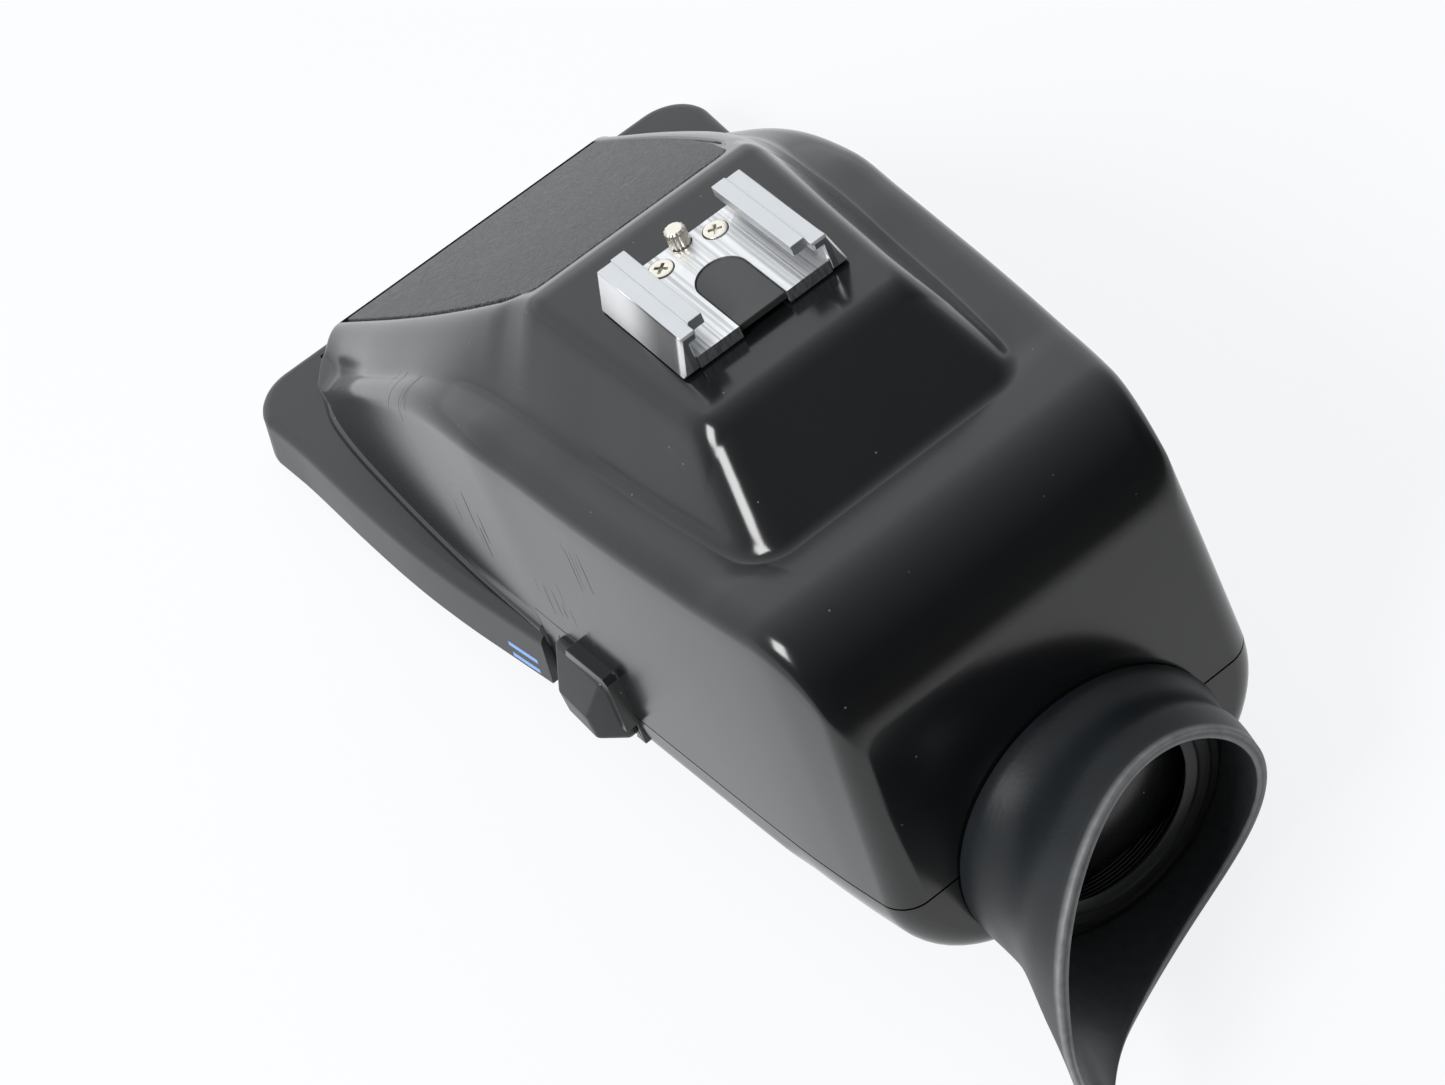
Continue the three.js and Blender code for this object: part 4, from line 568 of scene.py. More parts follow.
SPIGOT = [(17.2, -105.85), (17.05, -106), (15.6, -106)]
COLLAR = [
    (15.6, -88.0), (17.4, -88.0), (18.1, -88.3), (18.5, -89.0), (18.6, -89.8),
    (18.6, -104.5), (17.2, -104.5),
]
join_half(bm, turned(COLLAR + SPIGOT), SEAM - SEAM_GAP, False)
bmesh.ops.recalc_face_normals(bm, faces=bm.faces)
gloss_finish = finish("gloss_black", gloss_black)
keep(bm, "shell_moulding", "housing", "gloss_black", gloss_finish, "lower_shell")


# Camera lock: a hard plastic button in a guard on the left wall. The guard's rib runs over the
# button and down behind it, and the button's face slopes back below so that a thumb finds it.

def copy_of(name):
    """A carried-over piece as a mesh in millimetres."""
    bm = bmesh.new()
    bm.from_mesh(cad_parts[name].data)
    bmesh.ops.transform(bm, matrix=Matrix.Scale(1 / MM, 4), verts=bm.verts)
    bmesh.ops.remove_doubles(bm, verts=bm.verts, dist=0.001)
    return bm


def steeper(bm, angle):
    """The edges where two faces turn by more than an angle in degrees."""
    return [e for e in bm.edges if e.is_manifold and e.calc_face_angle() > math.radians(angle)]


def eased(bm, edges, width, segments, **settings):
    bmesh.ops.bevel(
        bm, geom=edges, offset=width, affect="EDGES", segments=segments, profile=0.5, material=-1,
        **settings,
    )


def softened(name, width, segments=3):
    """A copy of a flat-sided piece with its edges rounded over."""
    bm = copy_of(name)
    bmesh.ops.dissolve_limit(
        bm, angle_limit=math.radians(0.6), use_dissolve_boundaries=False, verts=bm.verts, edges=bm.edges,
    )
    eased(bm, steeper(bm, 25), width, segments, clamp_overlap=True)
    return bm


def satin_black(place):
    grain = place.clouds(1800.0, 2.0)
    colour = place.clouds(80.0).shade((0.010, 0.011, 0.012), (0.017, 0.018, 0.020))
    return place.surface(colour, place.clouds(120.0) * 0.1 + 0.34, grain.relief(0.000012))


satin_finish = finish("satin_black", satin_black)
guard, button = softened("button_guard", 0.3), softened("release_button", 1.1, 6)
keep(guard, "lock_guard", "housing", "gloss_black", gloss_finish, "button_guard", flat=True)
keep(button, "lock_button", "button", "satin_black", satin_finish, "release_button", flat=True)


# Lock spring: a coil of steel wire between the button and a lug of the lower shell, which in the
# finder shortens as the button goes in. Here it is a fixed copy that stays with the housing.

coil = copy_of("button_spring")
spring = keep(coil, "coil_spring", "housing", "steel", steel_finish, "button_spring", sharp=60)
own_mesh(spring)


# Upper cover: one black moulding, lacquered to a deep gloss, held by screws from below. A hump
# with the shoe on it stands on a lower shoulder body, a long slope runs down to the front, and
# every edge is a soft round.

PLATEAU = 58.0
PLATEAU_REAR = -75.8
HUMP_FOOT = -87.7
HUMP_FOOT_HEIGHT = 46.7
RIDGE = -41.4
SLOPE = math.tan(math.radians(31.4))
COVER_FRONT = 34.5
FRONT_ROUND = 1.4
SHOULDER_ROUND = 3.2
REAR_ROUND = 11.0
REAR_DROP = 14.3
FLANGE_SEAT = 8.3
LIP_TOP = 9.4
LIP = 0.4
LIP_SHAPE = [(0.12, 0.08), (0.55, 0.22), (0.90, 0.40), (1.0, 0.60), (1.0, 1.0)]
SHOULDER_HALF = flowing([
    (-106, 23.7), (-102, 24.1), (-94.9, 25.3), (-86.5, 26.3), (-66.5, 28.2), (-46, 29.6),
    (-36, 30.3), (-17, 30.1), (9.5, 29.8), (24, 29.6), (29.5, 29.4), (30.8, 29.0),
    (33.8, 26.9), (34.5, 26.5),
])
SHOULDER_HEIGHT = flowing([
    (-106, 47.6), (-94.9, 47.5), (-86.5, 47.1), (-66.5, 46), (-46, 44.8), (-36, 44),
    (-17, 37), (9.5, 21.1), (20, 13.7), (27, 9.3), (34.5, 8.6),
])
CREASE_HALF = flowing([
    (-94, 15.4), (-87.7, 17.7), (-83.7, 19.2), (-76, 20.3), (-67, 21.3), (-57.6, 22.1),
    (-47.5, 23), (-36, 23.8), (-26, 24.9), (-16, 25.6), (-3, 26.3), (10, 26.6), (34.5, 26.3),
])
CREASE_HEIGHT = flowing([
    (-106, 47.4), (-95, 47.2), (-87.7, 46.8), (-83.7, 46.3), (-76, 46), (-67, 45.5), (-57.6, 45),
    (-47.5, 44.8), (-36, 43.8), (-26, 41.6), (-16, 37.0), (-3, 29.2), (10, 21.2), (27, 10.4), (34.5, 8.8),
])
CREST_HALF = flowing([
    (-94, 9.3), (-87.7, 11.6), (-83.7, 13.0), (-76, 14.4), (-67, 14.9), (-47.5, 16.0), (-41.4, 16.4),
    (-36, 17.1), (-31.5, 18.4), (-15.3, 20.6), (4.3, 22.3), (27.6, 23.4), (34.5, 23.7),
])
PANEL_HALF = flowing([
    (-38, 14.6), (-36.2, 14.9), (-31.5, 16.7), (-15.3, 19.0), (4.3, 20.7), (27.6, 21.8), (34.5, 22.1),
])
PANEL_REAR = -36.4
PANEL_FRONT = 33.4
PANEL_CORNER = 2.4
POCKET = 0.55
POCKET_STEP = 0.25
RIDGE_ROUND = 1.0
HUMP_ROUND = 1.3
HUMP_ROUND_REAR = 1.9
REAR_EASE_START, REAR_EASE_RUN = -73.5, 4
CREASE_ROUND = 0.75


def blend_low(a, b, reach):
    """The lower of two heights, rounded over where they meet."""
    return min(a, b) - max(reach - abs(a - b), 0) ** 2 / (4 * reach)


def blend_high(a, b, reach):
    return -blend_low(-a, -b, reach)


def top_line(y):
    """Height of the plateau and the front slope."""
    return blend_low(PLATEAU, PLATEAU - (y - RIDGE) * SLOPE, RIDGE_ROUND)


def panel_share(x, y):
    """1 inside the leatherette's pocket, 0 outside it, with a steep step between them."""
    half = PANEL_HALF(y)
    inset_x = half - abs(x)
    inset_y = min(y - PANEL_REAR, PANEL_FRONT - y)
    if inset_x < PANEL_CORNER and y - PANEL_REAR < PANEL_CORNER and inset_y < PANEL_CORNER:
        inside = PANEL_CORNER - math.hypot(PANEL_CORNER - inset_x, PANEL_CORNER - inset_y)
    else:
        inside = min(inset_x, inset_y)
    return clamp(inside / POCKET_STEP + 0.5)


def rear_fall(y):
    """How far the shoulder's top has rounded down towards the rear face."""
    reach = max(0, REAR_FACE + REAR_ROUND - y) / REAR_ROUND
    return REAR_DROP * (1 - math.sqrt(max(0, 1 - reach ** 2)))


def cover_height(x, y):
    """Height of the outside at one place: the hump, or the shoulder's ledge where that is higher."""
    crease, crease_z = CREASE_HALF(y), CREASE_HEIGHT(y)
    shoulder, shoulder_z = SHOULDER_HALF(y), SHOULDER_HEIGHT(y)
    fall = rear_fall(y)
    share = clamp((x - crease) / (shoulder - crease))
    ledge = crease_z + (shoulder_z - crease_z) * share - fall
    crest = CREST_HALF(y)
    top = top_line(y)
    wall = crease_z + (crease - x) * (top - crease_z) / (crease - crest)
    fall_off = (PLATEAU - HUMP_FOOT_HEIGHT) / (PLATEAU_REAR - HUMP_FOOT)
    rear = HUMP_FOOT_HEIGHT + (y - HUMP_FOOT) * fall_off
    steep = (top - crease_z) / (crease - crest)
    wide = HUMP_ROUND + HUMP_ROUND_REAR * clamp((REAR_EASE_START - y) / REAR_EASE_RUN)
    hump = blend_low(blend_low(top, rear, HUMP_ROUND), wall, wide * steep)
    behind = clamp((wall - rear) / 6 + 0.5)
    foot = CREASE_ROUND * (steep + (fall_off - steep) * behind)
    depth = POCKET * panel_share(x, y)
    front = max(0, y - COVER_FRONT + FRONT_ROUND)
    edge = FRONT_ROUND - math.sqrt(max(0, FRONT_ROUND ** 2 - front ** 2))
    return blend_high(hump - depth, ledge, foot) - edge


def weighted(a, p, b, turn, t):
    """A point on the round corner at p between a and b."""
    w = math.cos(turn / 2)
    bottom = (1 - t) ** 2 + 2 * t * (1 - t) * w + t ** 2
    return tuple(
        ((1 - t) ** 2 * i + 2 * t * (1 - t) * w * j + t ** 2 * k) / bottom for i, j, k in zip(a, p, b)
    )


def spread_out(stops, counts):
    """Places along a line, with a count of them between each two stops."""
    places = []
    for low, high, count in zip(stops, stops[1:], counts):
        places += [low + (high - low) * i / count for i in range(count)]
    return places


def cover_section(y):
    """Half of the cover's outline at one place, from the middle over the shoulder to the foot."""
    shoulder = SHOULDER_HALF(y)
    foot = FLANGE_SEAT if y > FRAME_REAR else SEAM
    base = BASE_HALF(y)
    crest, crease, panel = CREST_HALF(y), CREASE_HALF(y), PANEL_HALF(y)
    corner = max(0, PANEL_REAR + PANEL_CORNER - y)
    if corner < PANEL_CORNER:
        panel -= PANEL_CORNER - math.sqrt(PANEL_CORNER ** 2 - corner ** 2)
    slit = 0.2 + 0.8 * clamp((-38 - y) / 10)
    panel = min(panel, crest - 1.9 - slit)
    ledge_z = max(cover_height(shoulder, y), foot + 0.15)
    wall = (base - shoulder, SEAM - ledge_z)
    room = math.hypot(*wall)
    rise = (ledge_z - cover_height(shoulder - 3, y)) / 3
    turn = math.atan2(room and -wall[1], wall[0]) + math.atan(rise)
    tangent = min(
        SHOULDER_ROUND * math.tan(turn / 2),
        room * 0.8 * (ledge_z - foot) / -wall[1],
        shoulder - crease - 0.4,
    )
    start = shoulder - tangent * math.cos(math.atan(rise))
    stops = [0, panel - slit, panel + slit, crest - 1.5, crest + 1.0, crease - 0.8, crease + 0.8, start]
    stops = [min(stop, start - 0.01 * (len(stops) - i)) for i, stop in enumerate(stops)]
    places = spread_out(stops, (8, 4, 3, 9, 11, 12, 8)) + [start]
    points = [(x, max(cover_height(x, y), foot + 0.15)) for x in places]
    a = points[-1]
    p = (shoulder, ledge_z)
    b = (shoulder + wall[0] * tangent / room, ledge_z + wall[1] * tangent / room)
    points += [weighted(a, p, b, turn, i / 12) for i in range(1, 13)]
    lean = wall[0] / wall[1]
    brim = min(LIP_TOP, b[1] - (b[1] - foot) * 0.4)
    flare = 0 if foot == SEAM else LIP * min(1, (b[1] - foot) / 3)
    drop = brim - b[1]
    points += [(b[0] + lean * drop * i / 12, b[1] + drop * i / 12) for i in range(1, 13)]
    for out, down in LIP_SHAPE:
        z = brim + (foot - brim) * down
        points.append((b[0] + lean * (z - b[1]) + flare * out, z))
    return [(rear_corner(x, y, z), z) for x, z in points]


ROW_STOPS = (
    REAR_FACE + REAR_ROUND, -88.6, -86.8, -77.8, -74, -43.5, -39.5, -36.8, -35.65, -35.35, -33.5, 28, 33.1,
)
ROW_COUNTS = (8, 14, 16, 14, 22, 10, 8, 8, 1, 8, 60, 12)
cover_rows = [REAR_FACE + REAR_ROUND * (1 - math.cos(math.radians(a))) for a in range(0, 91, 3)]
cover_rows += spread_out(ROW_STOPS, ROW_COUNTS)[1:]
cover_rows += [ROW_STOPS[-1] + FRONT_ROUND * math.sin(math.radians(a)) for a in range(0, 91, 9)]
bm = skin([(y, cover_section(y)) for y in cover_rows])
close_end(bm, REAR_FACE)
close_end(bm, COVER_FRONT)
join_half(bm, turned([(15.6, -103.5), (17.2, -103.5)] + SPIGOT), SEAM, True)
bmesh.ops.recalc_face_normals(bm, faces=bm.faces)
keep(bm, "cover_moulding", "housing", "gloss_black", gloss_finish, "top_cover")


# Leatherette: a thin embossed sheet glued into the shallow pocket on the slope, with a fine
# pebble grain. It is dark grey, and its edges sit just under the lacquered rim.

def leatherette(place):
    pebble = place.cells(1250.0, "SMOOTH_F1")
    crackle = place.cells(1250.0, "DISTANCE_TO_EDGE").between(0.0, 0.25)
    rise = crackle * 0.7 + place.clouds(2200.0, 2.0) * 0.6 - pebble * 0.2
    colour = rise.shade((0.003, 0.0035, 0.004), (0.060, 0.063, 0.066))
    return place.surface(colour, place.clouds(500.0) * 0.1 + 0.42, rise.relief(0.00026))


leather_finish = finish("leatherette", leatherette)
sheet = softened("leatherette_panel", 0.15)
keep(sheet, "slope_panel", "housing", "leatherette", leather_finish, "leatherette_panel")


# Accessory shoe: aluminium drawn as a section with sloped outer faces and two lips over the
# channel. The lips are milled back at the rear, where the ends are cut bright, and the floor
# is scored along its length.

SHOE_REAR, SHOE_FRONT = -68.5, -50.7
SHOE_SEAT, SHOE_FLOOR = 58.3, 60.0
LIP_REAR = -67.0
RAIL = [(9.3, 58.3), (11.6, 58.3), (10.2, 63.3), (8.2, 63.3), (8.2, 62.1), (9.3, 62.1)]
LIPS = [(8.2, 63.58), (6.25, 63.58), (6.25, 62.1)]
CHANNEL_HALF = 9.3
INSERT_HALF, INSERT_ARCH = 3.35, -56.95
SHOE_SCREWS = [(-3.9, -53.0), (3.9, -53.0)]
SCREW_HOLE = 1.60
PIN_PLACE = (0.0, -51.2)
PIN_HOLE = 1.46
HOLE_SHADE_PLACE, HOLE_SHADE_RADIUS = (-0.0093, -0.0675, 0.0607), 0.00042


def bright_aluminium(place):
    """Drawn aluminium: brighter flanks and floor, scores along the floor, and a black dot of painted shade
    for a small hole low in the left rail's inner wall near its rear end.
    """
    grain = place.stretched(1, 0.06, 1).clouds(6000.0, 2.0)
    score = place.stretched(1, 0.006, 0.3).clouds(2400.0, 1.0).between(0.36, 0.56)
    floor = (place.part(2) < 0.06002) * (abs(place.part(0)) < 0.0092)
    cut = place.part(1) < -0.06838
    flank = abs(place.part(0)) > 0.01025
    rough = grain * 0.16 + 0.38 + flank * 0.10 - cut * 0.14
    tone = place.clouds(260.0) * 0.5 + grain * 0.5
    colour = tone.shade((0.54, 0.55, 0.57), (0.66, 0.67, 0.68))
    colour = (flank * 0.9 + floor * 0.8).over(colour, (0.86, 0.86, 0.87))
    colour = (floor * (1 - score) * 0.5).over(colour, (0.30, 0.30, 0.31))
    relief = (grain * 0.000006 + floor * score * 0.000014).relief(1.0)
    # Painted shade: a near-black dot where a small hole in the left rail's inner wall is dark.
    painted_hole_shade = place.node("VectorMath", {"operation": "DISTANCE"}, {0: place, 1: HOLE_SHADE_PLACE}, 1)
    colour = (painted_hole_shade < HOLE_SHADE_RADIUS).over(colour, (0.01, 0.01, 0.01))
    return place.surface(colour, rough, relief, Metallic=0.9)


def only(geom, kind):
    return [item for item in geom if isinstance(item, kind)]


def drawn_out(bm, faces, by, keep_first=True):
    """Extrudes faces by a vector, and gives what was made."""
    made = bmesh.ops.extrude_face_region(bm, geom=faces, use_keep_orig=keep_first)["geom"]
    bmesh.ops.translate(bm, vec=by, verts=only(made, bmesh.types.BMVert))
    return made


bm = bmesh.new()
corners = [bm.verts.new((x, SHOE_FRONT, z)) for x, z in RAIL + LIPS]
rail_end = bm.faces.new(corners[:6])
lip_end = bm.faces.new([corners[3], corners[6], corners[7], corners[8], corners[4]])
drawn = drawn_out(bm, [rail_end, lip_end], (0, LIP_REAR - SHOE_FRONT, 0))
rail_end = max(only(drawn, bmesh.types.BMFace), key=lambda f: f.calc_area())
drawn_out(bm, [rail_end], (0, SHOE_REAR - LIP_REAR, 0), keep_first=False)
bmesh.ops.recalc_face_normals(bm, faces=bm.faces)
eased(bm, [e for e in bm.edges if all(v.co.y < SHOE_REAR + 0.01 for v in e.verts)], 0.24, 1)
eased(bm, [e for e in steeper(bm, 50) if max(v.co.z for v in e.verts) > 58.5], 0.11, 3)
bmesh.ops.mirror(
    bm, geom=bm.verts[:] + bm.edges[:] + bm.faces[:], matrix=Matrix.Identity(4), merge_dist=-1, axis="X",
)

floor_rim = [(CHANNEL_HALF, SHOE_REAR), (CHANNEL_HALF, SHOE_FRONT)]
floor_rim += [(-CHANNEL_HALF, SHOE_FRONT), (-CHANNEL_HALF, SHOE_REAR), (-INSERT_HALF, SHOE_REAR)]
floor_rim += arc((0, INSERT_ARCH - INSERT_HALF), INSERT_HALF, 180, 0, 24) + [(INSERT_HALF, SHOE_REAR)]
loops = ring_of(bm, floor_rim, SHOE_FLOOR)
for place in SHOE_SCREWS:
    loops += ring_of(bm, arc(place, SCREW_HOLE, 0, 350, 35), SHOE_FLOOR)
pin_hole = arc(PIN_PLACE, PIN_HOLE, 200, 340, 14)
pin_hole += [(0.6, SHOE_FRONT - 0.02), (-0.6, SHOE_FRONT - 0.02)]
loops += ring_of(bm, pin_hole, SHOE_FLOOR)
plate = bmesh.ops.triangle_fill(bm, use_beauty=True, use_dissolve=False, edges=loops)["geom"]
drawn_out(bm, only(plate, bmesh.types.BMFace), (0, 0, SHOE_SEAT - SHOE_FLOOR))
bmesh.ops.recalc_face_normals(bm, faces=bm.faces)
at_floor = [e for e in bm.edges if all(abs(v.co.z - SHOE_FLOOR) < 0.01 for v in e.verts)]
brink = [e for e in at_floor if e.is_manifold]
brink = [e for e in brink if e.calc_face_angle() > 1 and min(abs(v.co.x) for v in e.verts) < 9.2]
rear_brink = [e for e in brink if all(v.co.y < SHOE_REAR + 0.01 for v in e.verts)]
eased(bm, [e for e in brink if e not in rear_brink], 0.09, 2, loop_slide=False)
eased(bm, [e for e in rear_brink if e.is_valid], 0.4, 1, loop_slide=False)
aluminium_finish = finish("aluminium", bright_aluminium)
keep(bm, "shoe_casting", "housing", "aluminium", aluminium_finish, "accessory_shoe", flat=True)


# In the shoe: a dull black insert let into the floor, two nickel screws with cross heads that
# hold the shoe, and a fluted nickel pin at the front that stops what slides in.

def dull_black(place):
    wear = place.clouds(500.0)
    scratch = place.stretched(0.4, 3.0, 1).clouds(900.0, 4.0)
    colour = (wear * 0.5 + scratch * 0.5).shade((0.034, 0.035, 0.036), (0.056, 0.057, 0.058))
    return place.surface(colour, wear * 0.12 + 0.46, scratch.relief(0.00001))


def nickel(place):
    worn = place.clouds(900.0)
    swirl = place.stretched(1, 1, 6).clouds(2600.0)
    colour = (worn * 0.6 + swirl * 0.4).shade((0.60, 0.56, 0.49), (0.86, 0.82, 0.74))
    return place.surface(colour, worn * 0.16 + 0.22, swirl.relief(0.000006), Metallic=1.0)


INSERT_TOP = 59.86
INSERT_REAR = -68.25
INSERT_THICKNESS = 0.9
SCREW_RADIUS = 1.48
SCREW_TOP = 60.12
CROSS_ARM, CROSS_REACH, CROSS_DEPTH = 0.19, 0.86, 0.45
CROSS_TURNS = (38, 62)
PIN_RADIUS = 1.34
FLUTES = 14
FLUTE_DEPTH = 0.14
PIN_STEPS = 112
PIN_CROWN = 0.98
PIN_LEVELS = (58.4, 61.85, 62.05, 62.28)

nickel_finish = finish("nickel", nickel)
bm = bmesh.new()
half = INSERT_HALF - 0.12
outline = arc((0, INSERT_ARCH - INSERT_HALF), half, 0, 180, 32)
rim = ring_of(bm, outline + [(-half, INSERT_REAR), (half, INSERT_REAR)], INSERT_TOP)
bmesh.ops.contextual_create(bm, geom=rim)
drawn_out(bm, bm.faces[:], (0, 0, -INSERT_THICKNESS))
bmesh.ops.recalc_face_normals(bm, faces=bm.faces)
brink = [e for e in bm.edges if e.calc_face_angle() > 1 and all(v.co.z > 59.8 for v in e.verts)]
eased(bm, brink, 0.15, 3)
dull_finish = finish("dull_black", dull_black)
keep(bm, "floor_insert", "housing", "matt_black", dull_finish, "shoe_insert", flat=True)

arm, reach = CROSS_ARM, CROSS_REACH
cross = [(arm, reach), (arm, arm), (reach, arm), (reach, -arm), (arm, -arm), (arm, -reach)]
cross += [(-x, -y) for x, y in cross]
for side, place, degrees in zip(("left", "right"), SHOE_SCREWS, CROSS_TURNS):
    bm = bmesh.new()
    rim = ring_of(bm, arc(place, SCREW_RADIUS, 0, 351, 39), SCREW_TOP)
    turn = math.radians(degrees)
    plus = [
        (
            place[0] + x * math.cos(turn) - y * math.sin(turn),
            place[1] + x * math.sin(turn) + y * math.cos(turn),
        )
        for x, y in cross
    ]
    cut = ring_of(bm, plus, SCREW_TOP)
    bmesh.ops.triangle_fill(bm, use_beauty=True, use_dissolve=False, edges=rim + cut)
    for edges, drop in ((rim, 0.9), (cut, CROSS_DEPTH)):
        wall = bmesh.ops.extrude_edge_only(bm, edges=edges)["geom"]
        bmesh.ops.translate(bm, vec=(0, 0, -drop), verts=only(wall, bmesh.types.BMVert))
        bmesh.ops.contextual_create(bm, geom=only(wall, bmesh.types.BMEdge))
    bmesh.ops.recalc_face_normals(bm, faces=bm.faces)
    crisp = [e for e in bm.edges if e.is_manifold and e.calc_face_angle() > 1]
    eased(bm, [e for e in crisp if all(v.co.z > 60.1 for v in e.verts)], 0.07, 3)
    head = f"shoe_screw_head_{side}"
    keep(bm, head, "housing", "nickel", nickel_finish, f"shoe_screw_{side}", flat=True)

bm = bmesh.new()
flutes = []
for i in range(PIN_STEPS):
    angle = math.tau * i / PIN_STEPS
    reach = PIN_RADIUS - FLUTE_DEPTH * abs(math.cos(FLUTES / 2 * angle)) ** 3
    flutes.append((PIN_PLACE[0] + reach * math.cos(angle), PIN_PLACE[1] + reach * math.sin(angle)))
drawn_in_flutes = [(x * 0.96, PIN_PLACE[1] + (y - PIN_PLACE[1]) * 0.96) for x, y in flutes]
crown = arc(PIN_PLACE, PIN_CROWN, 0, 360 - 360 / PIN_STEPS, PIN_STEPS - 1)
outlines = (flutes, flutes, drawn_in_flutes, crown)
levels = [ring_of(bm, points, z) for points, z in zip(outlines, PIN_LEVELS)]
for low, high in zip(levels, levels[1:]):
    bmesh.ops.bridge_loops(bm, edges=low + high)
for level in (levels[0], levels[-1]):
    bmesh.ops.contextual_create(bm, geom=level)
bmesh.ops.recalc_face_normals(bm, faces=bm.faces)
keep(bm, "fluted_pin", "housing", "nickel", nickel_finish, "shoe_stop_pin", sharp=28)


# Eyepiece: a black barrel with a thread down its bore, which holds two lenses, a spacer and a
# retaining ring. A bezel with turned rings closes it, and the eye lens has a purple coating with a
# painted purple-grey reflection over it.

LENS_EDGE = 13.2
LENS_STEPS = 16
EYE_SIDE = (-103.4, 3.7)
FIELD_SIDE = (-94.8, -1.5)
BEZEL = [
    (16.9, -106.5), (16.9, -106.75), (16.8, -106.85), (16.5, -106.85), (16.35, -107.1), (15.75, -107.05),
    (15.6, -107.32), (15.3, -107.32), (15.15, -106.95), (13.9, -106.8), (13.75, -107.1), (13.5, -107.1),
    (13.35, -106.75), (12.1, -106.6), (12.0, -106.5),
]
RETAINING_RING = [
    (13.2, -100.0), (13.2, -102.0), (12.75, -102.0), (12.6, -101.8), (12.1, -101.8), (12.0, -102.0),
    (11.7, -102.0), (11.4, -101.6), (11.3, -100.0),
]


def threaded(place):
    """Black anodised, with a fine screw thread down the bore."""
    thread = place.maths("SINE", place.part(1) * 12000.0)
    colour = place.clouds(300.0).shade((0.006, 0.006, 0.007), (0.012, 0.012, 0.013))
    return place.surface(colour, place.clouds(600.0) * 0.1 + 0.26, thread.relief(0.00009))


def coated_glass(place):
    """Glass with a purple coating, under a pale layer with a faint purple-grey glow: a painted reflection
    of the bright room on the lens.
    """
    film = place.clouds(90.0) * 0.03 + 0.02
    tint = place.clouds(40.0).shade((0.90, 0.88, 0.95), (0.96, 0.95, 1.0))
    ripple = place.clouds(60.0).relief(0.0000004)
    glass = place.surface(
        tint, film, ripple, IOR=1.78, Transmission_Weight=1.0, Specular_Tint=(0.86, 0.74, 1.0, 1),
    )
    # Painted reflection: a pale diffuse layer with a faint emission, mixed over the glass, stands for the
    # lens reflecting the bright room.
    painted_reflection_tone = place.clouds(160.0, 4.0).between(0.2, 0.9).shade((0.72, 0.68, 0.80), (1.0, 0.96, 1.0))
    painted_reflection_layer = place.surface(
        painted_reflection_tone, 0.55, ripple, Emission_Color=(0.80, 0.76, 0.90, 1), Emission_Strength=0.10,
    )
    return place.node("MixShader", {}, {0: place.clouds(140.0, 4.0) * 0.20 + 0.35, 1: glass, 2: painted_reflection_layer})


thread_finish = finish("threaded_black", threaded)
coated_finish = finish("coated_glass", coated_glass)
dress(matt_finish, "lens_spacer")
dress(thread_finish, "eyepiece_barrel")
dress(glass_finish, "field_lens")


def lens_side(crown, sag):
    """One face of the lens, from the axis to its edge."""
    shares = [i / LENS_STEPS for i in range(LENS_STEPS + 1)]
    return [(LENS_EDGE * share, crown + sag * share ** 2) for share in shares]


lens = turned(lens_side(*EYE_SIDE) + lens_side(*FIELD_SIDE)[::-1])
keep(lens, "eye_lens_coated", "housing", "prism_glass", coated_finish, "eye_lens")
for profile, name, node in (
    (BEZEL, "bezel_rings", "eyepiece_bezel"), (RETAINING_RING, "lens_lock_ring", "lens_retaining_ring"),
):
    keep(turned(profile, 128), name, "housing", "satin_black", satin_finish, node, sharp=60)


# Eyecup: soft rubber, round where it clips on and drawn out into a wing on one side, which keeps
# light out of the eye. It turns on the eyepiece, and its rim is worn to a dull grey.

CUP_START = -104.7
CUP_OUTSIDE = 18.9
CUP_INSIDE = 17.3
RIM_EDGE = 0.35
WING = math.radians(-162.5)
WING_POWER = 1.77
CUP_WALL = 1.5
WAIST = 0.75
CUP_FLARE = 1.7
CUP_STEPS = 180


def peak(turn, wide_after, wide_before):
    """1 at the wing's tip and 0 opposite it, with a width in degrees on each side of the tip."""
    turn = math.remainder(turn, math.tau)
    spread = math.radians(wide_after if turn > 0 else wide_before)
    least = 1 / (1 + (math.pi / spread) ** WING_POWER)
    return (1 / (1 + abs(turn / spread) ** WING_POWER) - least) / (1 - least)


def rim_depth(angle):
    """How far the rim stands behind the cup's start: a slant round the cup, and the wing."""
    slant = 5.57 * math.cos(angle - math.radians(159.9)) + 2.09 * math.cos(2 * angle)
    return blend_low(13.1 + slant + 11.23 * peak(angle - WING, 14.6, 4.7), 28.5, 2.0)


def rim_radius(angle):
    """How far the rim lies from the eyepiece axis."""
    slant = 1.3 * math.cos(angle - math.radians(203.9))
    slant += 0.76 * math.cos(2 * (angle + math.radians(6.9)))
    return 18.16 + slant + 6.25 * peak(angle - WING, 17.4, 9.0)


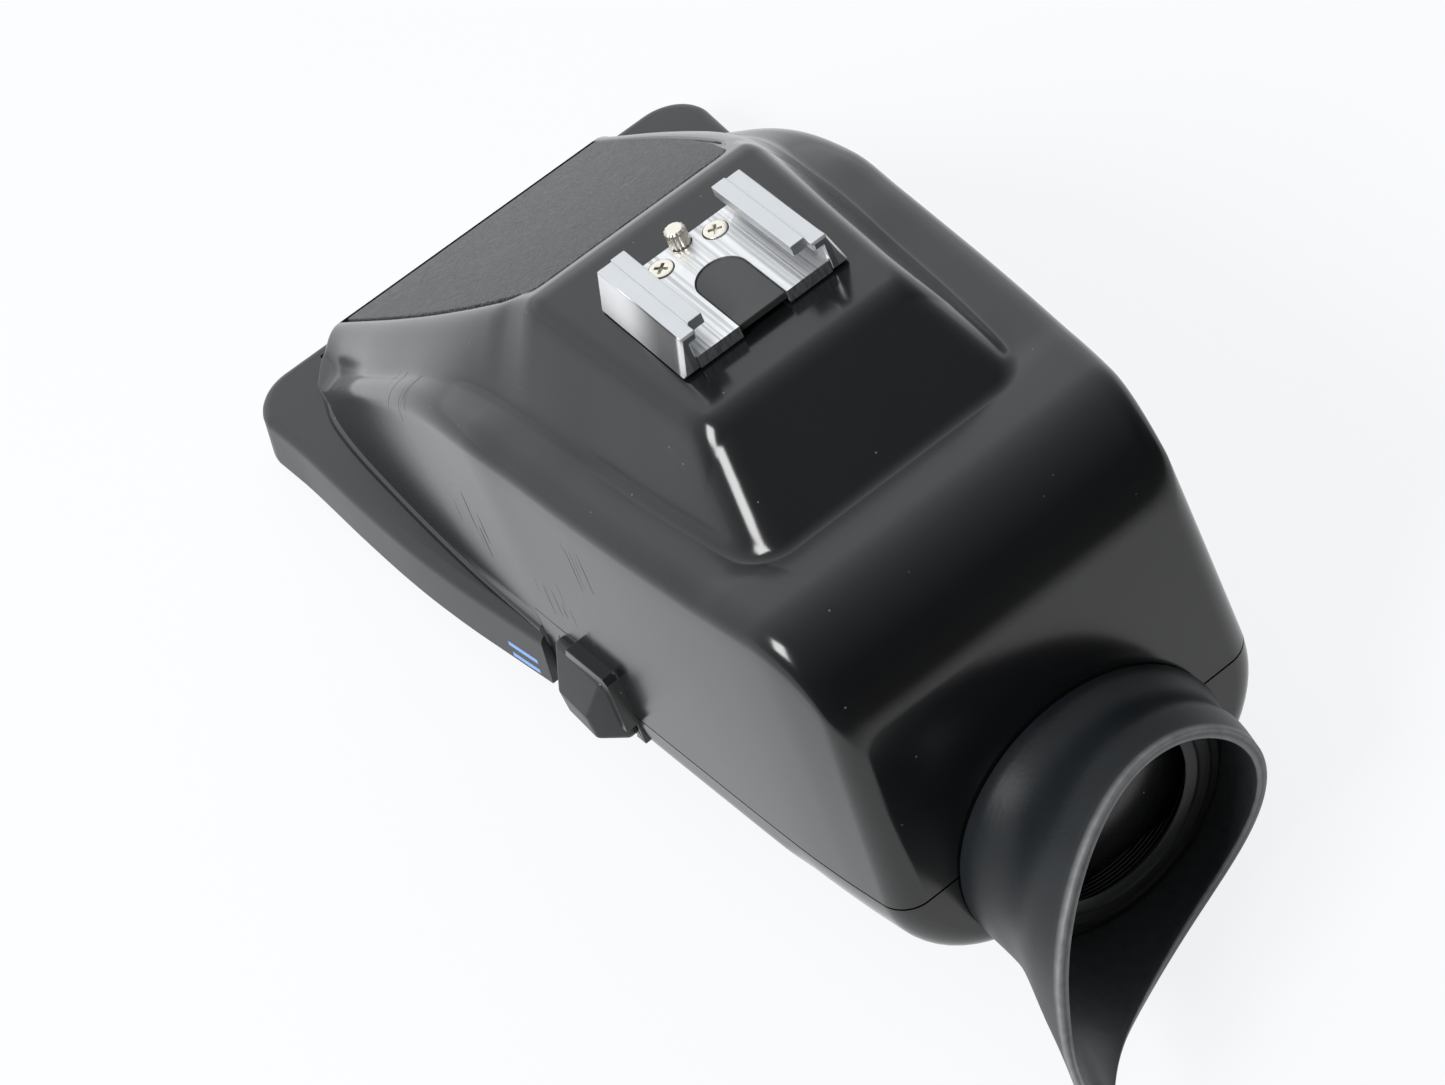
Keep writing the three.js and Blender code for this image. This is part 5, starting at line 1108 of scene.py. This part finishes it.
def cup_section(angle):
    """The cup's wall at one angle, from the outside of its foot over the rim to the inside, as
    (radius, y, wear) points."""
    depth, radius = rim_depth(angle), rim_radius(angle)
    thick = CUP_WALL - 0.3 * peak(angle - WING, 22, 12)
    points = [
        (CUP_INSIDE, CUP_START, 0.1), (CUP_OUTSIDE - 0.5, CUP_START, 0),
        (CUP_OUTSIDE - 0.12, CUP_START - 0.12, 0),
    ]
    for i in range(1, 20):
        s = i / 20
        waist = WAIST * math.sin(math.pi * min(1, s * 1.35)) ** 2
        r = CUP_OUTSIDE - waist + (radius - CUP_OUTSIDE) * s ** CUP_FLARE
        points.append((r, CUP_START - 0.4 - (depth - RIM_EDGE - 0.4) * s, max(0, s - 0.94) * 4))
    rim_y = CUP_START - depth
    for x, y in arc((radius - RIM_EDGE, -rim_y - RIM_EDGE), RIM_EDGE, 0, 90, 5):
        points.append((x, -y, 1))
    points.append((radius - thick / 2, rim_y + 0.05, 0.45))
    for x, y in arc((radius - thick + RIM_EDGE, -rim_y - RIM_EDGE), RIM_EDGE, 90, 180, 5):
        points.append((x, -y, 1 if y > -rim_y - 0.2 else 0.3))
    inner = radius - thick
    for i in range(1, 15):
        s = i / 14
        r = CUP_INSIDE + (inner - CUP_INSIDE) * (1 - s) ** CUP_FLARE
        points.append((r, rim_y + RIM_EDGE + (depth - RIM_EDGE) * s, 0.22))
    return points


def worn_rubber(place):
    """Soft black rubber with a waxy bloom, rubbed pale along its rim."""
    skin_grain = place.clouds(1800.0)
    bloom = place.clouds(120.0)
    wear = place.node("Attribute", {"attribute_name": "wear"}, {}, "Fac")
    rubbed = (wear * (place.clouds(700.0) * 0.7 + 0.45)).between(0, 1)
    colour = bloom.shade((0.005, 0.0065, 0.008), (0.013, 0.016, 0.019))
    colour = (rubbed * 0.85).over(colour, (0.27, 0.275, 0.28))
    return place.surface(
        colour, bloom * 0.14 + 0.34 + rubbed * 0.12, skin_grain.relief(0.00002), Specular_IOR_Level=0.38,
    )


def cup_angle(i):
    """The angle of one section. They lie closer together at the wing."""
    u = i / CUP_STEPS - 0.5
    return WING + math.tau * (0.5 * u + 2 * u ** 3)


angles = [cup_angle(i) for i in range(CUP_STEPS + 1)]
sections = [(angle, cup_section(angle)) for angle in angles]
across = len(sections[0][1]) - 1
bm = bmesh.new()
worn = bm.verts.layers.float.new("wear")
bmesh.ops.create_grid(bm, x_segments=across, y_segments=CUP_STEPS, size=1)
for vert in bm.verts:
    angle, section = sections[round((vert.co.y + 1) / 2 * CUP_STEPS)]
    r, y, wear = section[round((vert.co.x + 1) / 2 * across)]
    vert[worn] = wear
    vert.co = (r * math.cos(angle), y, EYE_HEIGHT + r * math.sin(angle))
bmesh.ops.remove_doubles(bm, verts=bm.verts, dist=0.001)
bmesh.ops.recalc_face_normals(bm, faces=bm.faces)
rubber_finish = finish("rubber", worn_rubber)
keep(bm, "winged_cup", "eyecup", "rubber", rubber_finish, "rubber_eyecup", sharp=60)
